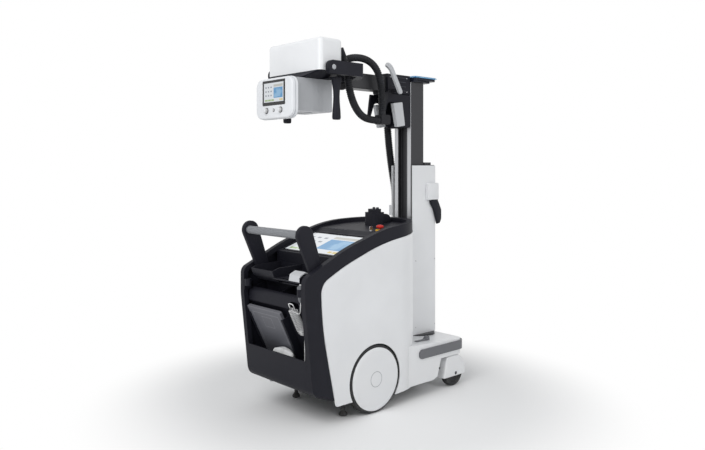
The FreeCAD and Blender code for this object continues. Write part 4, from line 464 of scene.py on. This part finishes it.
def moulded(name, colour, roughness, grain=900, depth=0.00006, wear=0.5, gloss=0.25):
    """Make a grained plastic whose colour and gloss vary a little."""
    finish = Finish(name)
    fine = finish.noise(grain, 3)
    broad = finish.noise(9, 5)
    rubbed = finish.fade(broad, 0.55, 0.8) * wear
    body = finish.blend(tone(colour), tone(colour, 1.7), rubbed)
    body = finish.blend(body, tone(colour, 0.75), finish.fade(fine, 0.5, 0.9) * 0.5)
    return finish.close(body, fine * 0.2 + roughness - rubbed * 0.12, fine, depth,
                        Specular_IOR_Level=gloss)


white_gloss = sprayed("white_gloss", (0.79, 0.80, 0.815), 0.3)
bezel_white = sprayed("bezel_white", (0.74, 0.755, 0.78), 0.34)
dark_plastic = moulded("dark_plastic", (0.0115, 0.0118, 0.0175), 0.42, wear=0.3, gloss=0.16)
dark_grey = moulded("dark_grey", (0.034, 0.036, 0.045), 0.48)
light_grey = moulded("light_grey", (0.42, 0.43, 0.45), 0.45, wear=0.2)
collimator_grey = moulded("collimator_grey", (0.31, 0.315, 0.345), 0.45, 1400, 0.00004, 0.15)
battery_case = moulded("battery_case", (0.03, 0.06, 0.045), 0.5)
button_grey = moulded("button_grey", (0.55, 0.56, 0.58), 0.35, wear=0.1)
soft_red = moulded("soft_red", (0.55, 0.025, 0.018), 0.28, 500, 0.00003, 0.1)
print("housing finishes:", len(bpy.data.materials))

# %% Drawn and painted metal
def drawn(name, colour, roughness, metallic, stretch, depth=0.00003, gloss=0.5):
    """Make metal whose marks run along the part."""
    finish = Finish(name)
    marks = finish.noise(1.0, 4, stretch)
    stains = finish.noise(5, 5)
    body = finish.blend(tone(colour, 0.8), tone(colour, 1.25), finish.fade(marks, 0.3, 0.7))
    return finish.close(body, marks * 0.22 + roughness + finish.fade(stains, 0.5, 0.8) * 0.08, marks,
                        depth, Metallic=metallic, Specular_IOR_Level=gloss)


mast_black = drawn("mast_black", (0.014, 0.014, 0.020), 0.36, 0.0, (600, 600, 6), gloss=0.2)
rail_alloy = drawn("rail_alloy", (0.17, 0.175, 0.21), 0.34, 0.3, (900, 900, 4), gloss=0.4)
bright_steel = drawn("bright_steel", (0.5, 0.5, 0.52), 0.22, 1.0, (300, 300, 300))
frame_steel = drawn("frame_steel", (0.05, 0.052, 0.058), 0.45, 0.3, (60, 60, 60), 0.0001)
print("metals ready")

# %% [markdown]
# Tyres and feet are rubber with ground-in dust. The hand grip's ribs are too fine to model, so they
# are written as heights in the finish.

# %% Rubber and grips
def tyre_rubber():
    """Make tyre rubber, greyer where it meets the floor."""
    finish = Finish("tyre_rubber")
    grit = finish.noise(260, 4)
    dust = finish.fade(finish.z, 0.16, 0.0) * finish.fade(finish.noise(30, 4), 0.35, 0.65)
    body = finish.blend((0.014, 0.014, 0.016, 1), (0.10, 0.098, 0.092, 1), dust * 0.35)
    return finish.close(body, grit * 0.2 + 0.6, grit, 0.00012)


def ribbed_grip():
    """Make the grey hand grip with rings round it."""
    finish = Finish("ribbed_grip")
    rings = finish.fade(finish.y % 0.008, 0.0006, 0.0022) * finish.fade(finish.y % 0.008, 0.0074, 0.0058)
    grain = finish.noise(700, 3)
    body = finish.blend((0.10, 0.105, 0.115, 1), (0.30, 0.31, 0.33, 1), rings)
    return finish.close(body, grain * 0.15 + 0.5, rings + grain * 0.06, 0.0011)


tyre = tyre_rubber()
grip = ribbed_grip()
print("rubbers ready")

# %% [markdown]
# Three solids have two colours, because the real machine joins several mouldings there: the tray holds
# a pale card reader, the hose bar ends in a black clamp, and the column's cap has a blue light band.

# %% Finishes with two colours
def two_tone(name, dark, light, share, roughness=0.42):
    """Make a grained plastic with a second colour where the share is one."""
    finish = Finish(name)
    fine = finish.noise(900, 3)
    body = finish.blend(finish.blend(tone(dark, 0.8), tone(dark, 1.2), fine), tone(light), share(finish))
    return finish.close(body, fine * 0.2 + roughness, fine, 0.00005, Specular_IOR_Level=0.2)


def reader_share(finish):
    return (finish.z > 0.6903) * finish.within(finish.y, -0.1945, -0.1105) * (finish.x < -0.5015)


def bar_share(finish):
    return (finish.y < -0.111) * (finish.z > 1.62)


def band_share(finish):
    return finish.fade(finish.z, 1.7435, 1.7445)


two_tone("tray_plastic", (0.0115, 0.0118, 0.0175), (0.60, 0.61, 0.63), reader_share)
two_tone("hanger_plastic", (0.016, 0.016, 0.020), (0.52, 0.53, 0.55), bar_share)
two_tone("cap_plastic", (0.014, 0.016, 0.026), (0.035, 0.17, 0.40), band_share, 0.3)
print("two-tone finishes ready")

# %% [markdown]
# ## Screens
# Both screens are plain pictures worked out from position: a pale page with a bar on top, a column of
# small keys, a wide panel and a row of coloured tabs. They hold no words and no numbers.

# %% The two screens
def page(name, across, up, size, area, glow):
    """Draw a control page; across and up run from 0 to 1 over the glass, area is its lit part."""
    finish = Finish(name)
    left, right, low, high = area
    u = (across(finish) - left) / (right - left)
    v = (up(finish) - low) / (high - low)

    def patch(start, stop, bottom, top):
        return finish.within(u, start, stop) * finish.within(v, bottom, top)

    def cells(count, first, share, value):
        step = (value - first) * count
        return finish.within(step % 1.0, (1 - share) / 2, (1 + share) / 2)

    glass = (0.006, 0.0065, 0.008, 1)
    colour = (0.72, 0.75, 0.78, 1)
    keys = patch(0.04, 0.44, 0.24, 0.88) * cells(7.5, 0.04, 0.5, u) * cells(4.7, 0.24, 0.36, v)
    colour = finish.blend(colour, (0.26, 0.28, 0.32, 1), keys)
    colour = finish.blend(colour, (0.50, 0.50, 0.46, 1), patch(0.50, 0.96, 0.78, 0.90))
    colour = finish.blend(colour, (0.10, 0.30, 0.55, 1), patch(0.50, 0.96, 0.20, 0.74))
    figure = finish.noise(1.0, 3, (3 / size, 3 / size, 5 / size))
    shape = patch(0.53, 0.93, 0.24, 0.70) * finish.fade(figure, 0.45, 0.6)
    colour = finish.blend(colour, (0.25, 0.46, 0.68, 1), shape)
    tabs = patch(0.04, 0.96, 0.05, 0.14) * cells(6, 0.04, 0.88, u)
    colour = finish.blend(colour, (0.34, 0.46, 0.22, 1), tabs * (u < 0.52))
    colour = finish.blend(colour, (0.66, 0.52, 0.16, 1), tabs * (u > 0.8))
    lit = finish.blend((0, 0, 0, 1), colour, patch(0, 1, 0, 1))
    smudge = finish.noise(40, 4)
    return finish.close(finish.blend(glass, lit, 0.1), finish.fade(smudge, 0.5, 0.8) * 0.12 + 0.1, smudge,
                        0.00001, Emission_Color=lit, Emission_Strength=glow)


SLOPE = math.radians(18.9)
CONSOLE_START = at(-224, 0, 797)


def console_across(finish):
    return (0.2145 - finish.y) / 0.429


def console_up(finish):
    run = (finish.x - CONSOLE_START.x) * math.cos(SLOPE) + (finish.z - CONSOLE_START.z) * math.sin(SLOPE)
    return (run - 0.0075) / 0.235


def head_across(finish):
    return (0.094 - finish.y) / 0.188


def head_up(finish):
    return (finish.z - 1.537) / 0.124


console_page = page("console_page", console_across, console_up, 0.43, (0.02, 0.98, 0.04, 0.96), 0.8)
head_page = page("head_page", head_across, head_up, 0.19, (0.06, 0.92, 0.14, 0.90), 0.75)
print("screens ready")

# %% [markdown]
# ## The flat detector
# It is a grey plate with a fine frame line, a printed field outline and a worn top edge.

# %% The detector's finish
def detector_finish():
    """Make the detector's face: grey, with a frame line and a marked field."""
    finish = Finish("detector_face")
    corner = at(-427, 0, 530)
    down = (finish.x - corner.x) * math.sin(LEAN) - (finish.z - corner.z) * math.cos(LEAN)
    side = finish.y

    def frame_line(top, low, left, right, width):
        outer = finish.within(down, top, low) * finish.within(side, left, right)
        inner = finish.within(down, top + width, low - width) * finish.within(side, left + width, right - width)
        return outer - inner

    lines = frame_line(0.03, 0.32, -0.02, 0.2, 0.0022) + frame_line(0.05, 0.11, 0.05, 0.13, 0.0016)
    fine = finish.noise(800, 3)
    body = finish.blend((0.115, 0.117, 0.135, 1), (0.26, 0.265, 0.285, 1), lines)
    body = finish.blend(body, (0.20, 0.20, 0.22, 1), finish.fade(down, 0.012, 0.0) * 0.6)
    return finish.close(body, fine * 0.15 + 0.38, fine + lines * 2, 0.00008)


detector_face = detector_finish()
print("detector ready")

# %% Hand every solid its finish
FINISHES = {
    "white_gloss": ["side_panels", "front_cover", "base_cover", "caster_hood_left", "caster_hood_right",
                    "column_casing", "tube_cover", "drive_wheel_left", "drive_wheel_right"],
    "bezel_white": ["display_bezel"],
    "dark_plastic": ["side_frames", "console_top", "lower_pocket", "middle_bin", "tube_collar", "fork",
                     "handle_arms", "tilt_grips", "casing_hook", "arm_housing", "carriage"],
    "dark_grey": ["bumper_strip", "swivel_lock", "hand_switch", "lift_belt"],
    "light_grey": ["side_pads"],
    "tray_plastic": ["upper_tray"],
    "hanger_plastic": ["hose_hanger"],
    "cap_plastic": ["mast_cap"],
    "ribbed_grip": ["handle_bar"],
    "collimator_grey": ["collimator_box"],
    "mast_black": ["mast", "boom", "column_post"],
    "rail_alloy": ["mast_rails"],
    "frame_steel": ["chassis_frame", "drive_motors"],
    "bright_steel": ["trunnions", "key_switch"],
    "tyre_rubber": ["drive_tyre_left", "drive_tyre_right", "caster_wheel_left", "caster_wheel_right",
                    "stabiliser_feet"],
    "console_page": ["screen_glass"],
    "head_page": ["display_panel"],
    "detector_face": ["detector"],
    "soft_red": ["estop_button"],
    "button_grey": ["switch_button", "light_button", "field_knob_left", "field_knob_right"],
    "battery_case": ["battery_pack"],
}
for finish_name, node_names in FINISHES.items():
    for node_name in node_names:
        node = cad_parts[node_name]
        node.data.materials.clear()
        node.data.materials.append(bpy.data.materials[finish_name])
print("solids finished:", sum(len(names) for names in FINISHES.values()))

# %% [markdown]
# ## Small parts
# The engineering model stops at the size of a finger. Caps, rings, screws and plugs are added here,
# each on the body that carries it.

# %% Tools for small parts
def brick(name, low, high, body, material, edge=1.0, lean=0.0):
    """Make a small block with soft edges between two drawing points, leaned about Y."""
    first, last = at(*low), at(*high)
    bm = bmesh.new()
    bmesh.ops.create_cube(bm, size=1)
    middle = (first + last) / 2
    bmesh.ops.scale(bm, vec=last - first, verts=bm.verts)
    bmesh.ops.bevel(bm, geom=bm.edges[:], offset=edge / 1000, offset_type="OFFSET", segments=2, profile=0.5,
                    affect="EDGES", clamp_overlap=True, material=-1)
    place = Matrix.Translation(middle) @ Matrix.Rotation(math.radians(lean), 4, "Y")
    bmesh.ops.transform(bm, matrix=place, verts=bm.verts)
    bmesh.ops.recalc_face_normals(bm, faces=bm.faces)
    return finished(name, bm, body, material)


def disc(name, outline, axis, centre, body, material, steps=28):
    """Turn an outline in millimetres about an axis through a drawing point."""
    metres = [(radius / 1000, height / 1000) for radius, height in outline]
    return finished(name, turned(metres, steps, axis, at(*centre)), body, material)


SCREW = [(0, 0), (3.4, 0), (3.4, 0.9), (2.9, 1.5), (1.5, 1.6), (1.4, 0.5), (0, 0.5)]
SCREW_BACK = [(radius, -height) for radius, height in SCREW]
print("small part tools ready")

# %% Caps, rings and buttons
disc("stop_collar", [(19.15, -8), (23, -8), (23.5, 4), (22, 8.2), (17.5, 8.6), (17.5, 7.4), (19.15, 7.2)], "Z",
     (101, -200, 903.3), "cart", moulded("collar_yellow", (0.75, 0.42, 0.02), 0.35, 600, 0.00003, 0.1))
for side, knob in ((1, "knob_left"), (-1, "knob_right")):
    disc("%s_cap" % knob, [(0, -1.2), (6.6, -1.2), (8.2, -0.5), (8.6, 0.4), (0, 0.4)], "X",
         (-446, 58 * side, 1513), knob, bezel_white)
    disc("%s_ring" % knob, [(12.2, -1.6), (14.2, -1.4), (15.0, 0.5), (12.2, 0.5)], "X", (-432, 58 * side, 1513),
         "collimator", dark_plastic)
disc("light_ring", [(6.4, -1.4), (8.0, -1.2), (8.6, 0.5), (6.4, 0.5)], "X", (-432, 0, 1513), "collimator",
     dark_plastic)
for side in (1, -1):
    disc("pivot_cap_%d" % (side > 0), [(0, 0.6), (9, 0.6), (12.5, -0.6), (13.6, -3.4), (0, -3.4)] if side > 0 else
         [(0, -0.6), (9, -0.6), (12.5, 0.6), (13.6, 3.4), (0, 3.4)], "Y", (-255, 250 * side, 1717), "yoke",
         light_grey)
    disc("caster_cap_%d" % (side > 0), [(0, 1.4), (7, 1.4), (9, 0.6), (9.6, -1), (0, -1)] if side > 0 else
         [(0, -1.4), (7, -1.4), (9, -0.6), (9.6, 1), (0, 1)], "Y", (637, (232 + 32) * side, 75),
         "caster_left" if side > 0 else "caster_right", dark_grey)
    disc("base_plug_%d" % (side > 0), [(0, 0.8), (5.5, 0.8), (6.4, 0), (6.4, -0.4), (4.8, -0.5), (4.8, -4), (0, -4)]
         if side > 0 else [(0, -0.8), (5.5, -0.8), (6.4, 0), (6.4, 0.4), (4.8, 0.5), (4.8, 4), (0, 4)], "Y",
         (498, 264 * side, 128), "cart", dark_grey)
    disc("hub_ring_%d" % (side > 0), [(36, -0.2), (36.6, 0.35), (39.4, 0.35), (40, -0.2)] if side > 0 else
         [(36, 0.2), (36.6, -0.35), (39.4, -0.35), (40, 0.2)], "Y", (0, 277.5 * side, 170),
         "wheel_left" if side > 0 else "wheel_right", light_grey, 48)
print("caps added")

# %% Screws
screw_count = 0
for side in (1, -1):
    outline = SCREW if side > 0 else SCREW_BACK
    spots = [("collimator", x, 104, z) for x in (-384, -154) for z in (1528, 1656)]
    spots += [("lift", x, 60, z) for x in (322, 452) for z in (1660, 1736)]
    spots += [("column", x, 84, z) for x in (500, 662) for z in (320, 700)]
    for body, x, y, z in spots:
        disc("screw_%02d" % screw_count, outline, "Y", (x, y * side, z), body, bright_steel, 12)
        screw_count += 1
print("screws:", screw_count)

# %% [markdown]
# ## Things on the tray, the arm and the column
# The screen has a row of keys in front of it. The column's head carries a thin pale strip, a painted
# highlight along its blue light band; the arm has a few moulded ribs, the dock two small knobs, and a
# dark rim closes the top of the column's casing.

# %% Keys, ribs, rims and the painted highlight strips
# Painted highlight: the pale blue strips stand for the light caught along the middle of the cap's blue band.
band_highlight_blue = moulded("band_painted_highlight", (0.30, 0.58, 0.80), 0.3, 500, 0.00002, 0.1)
for index, (low, high) in enumerate((((479.2, -94, 1745.5), (481, 94, 1749.5)), ((486, -100.6, 1745.5), (664, -99, 1749.5)),
                                     ((486, 99, 1745.5), (664, 100.6, 1749.5)))):
    brick("cap_band_highlight_%d" % index, low, high, "inner_mast", band_highlight_blue, 0.4)
for index in range(4):
    z = 1662 + index * 24
    brick("arm_rib_%d" % index, (330, -62.4, z), (444, -59.5, z + 5), "lift", dark_grey, 1.0)
for index in range(6):
    y = 118 - index * 26
    brick("console_key_%d" % index, (22, y - 9, 899.3), (34, y + 9, 902.2), "cart", dark_grey, 0.8, -4)
for index, y in enumerate((-16, 12)):
    disc("dock_knob_%d" % index, [(0, 9), (6, 9), (8, 7), (8.6, 0), (8.6, -2), (0, -2)], "Z",
         (262, y, 1003), "cart", dark_grey, 20)
for index, (low, high) in enumerate((((676, -62, 1243.5), (682, 62, 1247)), ((496, -84, 1243.5), (660, -78, 1247)),
                                     ((496, 78, 1243.5), (660, 84, 1247)))):
    brick("casing_rim_%d" % index, low, high, "column", dark_grey, 0.8)
brick("bezel_latch", (-424, -16, 1669), (-404, 16, 1675.5), "collimator", dark_grey, 1.2)

# %% [markdown]
# ## Arms, grips and the column's handle
# Three forms are fuller than their solids: the push handle's arms widen towards the bar, the hanging
# grips have a waist, and the column's handle is a thick wedge under a raised white housing.

# %% Tools for flat shapes
def round_both(first, first_radius, second, second_radius, steps=16):
    """Draw the outline that a belt takes round two discs, as (x, z) pairs."""
    (x0, z0), (x1, z1) = first, second
    along = math.atan2(z1 - z0, x1 - x0)
    lean = math.acos((first_radius - second_radius) / math.hypot(x1 - x0, z1 - z0))
    points = []
    for index in range(steps + 1):
        angle = along + lean + (2 * math.pi - 2 * lean) * index / steps
        points.append((x0 + first_radius * math.cos(angle), z0 + first_radius * math.sin(angle)))
    for index in range(steps + 1):
        angle = along - lean + 2 * lean * index / steps
        points.append((x1 + second_radius * math.cos(angle), z1 + second_radius * math.sin(angle)))
    return points


def plate(name, outline, y_low, y_high, body, material, edge, replaces=()):
    """Cut a plate from an outline of (x, z) pairs and soften its rims."""
    bm = bmesh.new()
    face = bm.faces.new([bm.verts.new(at(x, y_low, z)) for x, z in outline])
    raised = bmesh.ops.extrude_face_region(bm, geom=[face])["geom"]
    top = [item for item in raised if isinstance(item, bmesh.types.BMVert)]
    bmesh.ops.translate(bm, vec=(0, (y_high - y_low) / 1000, 0), verts=top)
    rims = [rim for rim in bm.edges if abs(rim.verts[0].co.y - rim.verts[1].co.y) < 1e-6]
    bmesh.ops.bevel(bm, geom=rims, offset=edge / 1000, offset_type="OFFSET", segments=3, profile=0.5,
                    affect="EDGES", clamp_overlap=True, material=-1)
    bmesh.ops.recalc_face_normals(bm, faces=bm.faces)
    return finished(name, bm, body, material, 40, replaces)


print("plate tools ready")

# %% Arms, grips and handle
ARM_SHAPE = round_both((-418, 914), 46, (-337, 708), 35)
GRIP_SHAPE = [(0, 1467.5), (16, 1467.5), (21, 1470), (23, 1480), (21.5, 1510), (18, 1550), (16.8, 1580),
              (18, 1608), (23, 1640), (27, 1664), (27, 1672), (0, 1672)]
for side in (1, -1):
    ends = sorted((211 * side, 236 * side))
    plate("handle_arm_%d" % (side > 0), ARM_SHAPE, ends[0], ends[1], "handle", dark_plastic, 5,
          ["handle_arms"])
    grip_mesh = turned([(radius / 1000, height / 1000) for radius, height in GRIP_SHAPE], 24, "Z",
                       at(-198, 0, 0))
    bmesh.ops.scale(grip_mesh, vec=(1, 0.86, 1), verts=grip_mesh.verts)
    for vertex in grip_mesh.verts:
        vertex.co.y = side * min(0.2171, 0.200 + side * vertex.co.y)
    bmesh.ops.recalc_face_normals(grip_mesh, faces=grip_mesh.faces)
    finished("grip_sleeve_%d" % (side > 0), grip_mesh, "tube", dark_plastic)
plate("column_handle", [(606, 1060), (664, 1060), (690, 1012), (703, 985), (703, 932), (690, 908), (670, 904),
                        (656, 945), (640, 990), (618, 1020)], -103, -85, "column", dark_plastic, 5,
      ["casing_hook"])
brick("handle_housing", (584, -104.5, 1044), (679, -83, 1143), "column", white_gloss, 6)
print("arms, grips and handle made")

# %% [markdown]
# ## The soft pouch
# A padded pouch stands in the lower pocket. It starts as a fine grid over a rounded box, is swollen
# in the middle and pulled in at its seams, and gets a row of folds that run down from its mouth.

# %% Make the pouch
def pouch():
    """Make the padded pouch: a swollen box with seams and folds."""
    low = at(-391, -80, 200.5)
    high = at(-347, 88, 341)
    middle = (low + high) / 2
    half = (high - low) / 2
    bm = bmesh.new()
    bmesh.ops.create_cube(bm, size=2)
    bmesh.ops.subdivide_edges(bm, edges=bm.edges[:], cuts=23, use_grid_fill=True)
    for vertex in bm.verts:
        x, y, z = vertex.co
        round_x = x * math.sqrt(max(0.0, 1 - y * y / 2.6)) * (1 - 0.42 * max(0.0, z) ** 3)
        round_y = y * math.sqrt(max(0.0, 1 - x * x / 5 - max(0.0, z) ** 6 / 5))
        top = 0.012 * math.sin(7 * y) * max(0.0, z) - 0.20 * y * y * max(0.0, z)
        fold = (0.05 * math.sin(13 * y + 2.2 * z) + 0.03 * math.sin(31 * y - 5 * z)) * (0.7 - 0.5 * z)
        seam = -0.10 if abs(x) < 0.05 else 0.0
        round_x *= 1 + fold * (1 - abs(y) ** 4)
        round_y *= 1 + 0.4 * seam
        vertex.co = (middle.x + half.x * min(1.0, max(-1.0, round_x * 0.97)),
                     middle.y + half.y * min(1.0, max(-1.0, round_y * 0.97)),
                     middle.z + half.z * min(1.0, z * 0.97 + top))
    bmesh.ops.recalc_face_normals(bm, faces=bm.faces)
    return bm


def woven(name, colour):
    """Make coated cloth with a fine weave."""
    finish = Finish(name)
    cross = (finish.y % 0.0016 < 0.0008) * 0.5 + (finish.z % 0.0016 < 0.0008) * 0.5
    creases = finish.noise(28, 5)
    body = finish.blend(tone(colour, 0.86), tone(colour), finish.fade(creases, 0.35, 0.6))
    return finish.close(body, creases * 0.2 + 0.55, cross * 0.08 + creases, 0.0012)


pouch_piece = finished("padded_pouch", pouch(), "cart", woven("pouch_cloth", (0.78, 0.785, 0.79)),
                       60, ["cable_pouch"])
print("pouch faces", len(pouch_piece.data.polygons))

# %% [markdown]
# ## Light and floor
# The floor is a pale sheet that fades into a white surround, so the machine keeps its soft contact
# shadow and the rest of the picture is white. One large lamp is the key, a second opens the shadows.

# %% Floor, surround and lamps
def ray_share(tree):
    """Tell the rays that see the surround directly from the rays that gather light."""
    path = tree.nodes.new("ShaderNodeLightPath")
    seen = tree.nodes.new("ShaderNodeMath")
    seen.operation = "MAXIMUM"
    tree.links.new(path.outputs["Is Camera Ray"], seen.inputs[0])
    tree.links.new(path.outputs["Is Glossy Ray"], seen.inputs[1])
    both = tree.nodes.new("ShaderNodeMath")
    both.operation = "MAXIMUM"
    tree.links.new(seen.outputs[0], both.inputs[0])
    tree.links.new(path.outputs["Is Transmission Ray"], both.inputs[1])
    return both.outputs[0]


def surround(strength):
    """Make the white world, dimmer for the rays that gather light."""
    world = bpy.data.worlds.new("surround")
    world.use_nodes = True
    tree = world.node_tree
    tree.nodes.clear()
    seen = tree.nodes.new("ShaderNodeBackground")
    seen.inputs[0].default_value = (1, 1, 1, 1)
    gathered = tree.nodes.new("ShaderNodeBackground")
    gathered.inputs[0].default_value = (0.97, 0.985, 1, 1)
    gathered.inputs[1].default_value = strength
    mix = tree.nodes.new("ShaderNodeMixShader")
    tree.links.new(ray_share(tree), mix.inputs[0])
    tree.links.new(gathered.outputs[0], mix.inputs[1])
    tree.links.new(seen.outputs[0], mix.inputs[2])
    tree.links.new(mix.outputs[0], tree.nodes.new("ShaderNodeOutputWorld").inputs[0])
    bpy.context.scene.world = world


def floor_sheet():
    """Make the pale floor that fades into the surround."""
    finish = Finish("floor_sheet")
    distance = finish.node("ShaderNodeVectorMath", {"operation": "LENGTH"}, finish.place, out=1)
    matt = finish.node("ShaderNodeBsdfDiffuse", None, (0.92, 0.92, 0.92, 1))
    white = finish.node("ShaderNodeEmission", None, (1, 1, 1, 1), 1.0)
    far = finish.fade(distance, 0.75, 1.5) * Value(finish, ray_share(finish.tree))
    mixed = finish.node("ShaderNodeMixShader", None, far, matt, white)
    finish.node("ShaderNodeOutputMaterial", None, mixed)
    bm = bmesh.new()
    bmesh.ops.create_grid(bm, x_segments=1, y_segments=1, size=14)
    mesh = bpy.data.meshes.new("floor")
    bm.to_mesh(mesh)
    bm.free()
    mesh.materials.append(finish.material)
    sheet = bpy.data.objects.new("floor", mesh)
    bpy.context.scene.collection.objects.link(sheet)


def lamp(name, place, target, size, power):
    """Hang a square lamp that faces a point."""
    light = bpy.data.lights.new(name, "AREA")
    light.size = size
    light.energy = power
    obj = bpy.data.objects.new(name, light)
    obj.location = place
    obj.rotation_euler = (Vector(target) - Vector(place)).to_track_quat("-Z", "Y").to_euler()
    bpy.context.scene.collection.objects.link(obj)


surround(0.52)
floor_sheet()
lamp("key_lamp", (-3.4, -1.2, 3.4), (0, 0, 0.9), 2.4, 84)
lamp("side_lamp", (0.6, -4.2, 2.6), (0.1, 0, 0.8), 2.6, 34)
bpy.context.scene.view_settings.view_transform = "Standard"
print("lamps", len(bpy.data.lights))
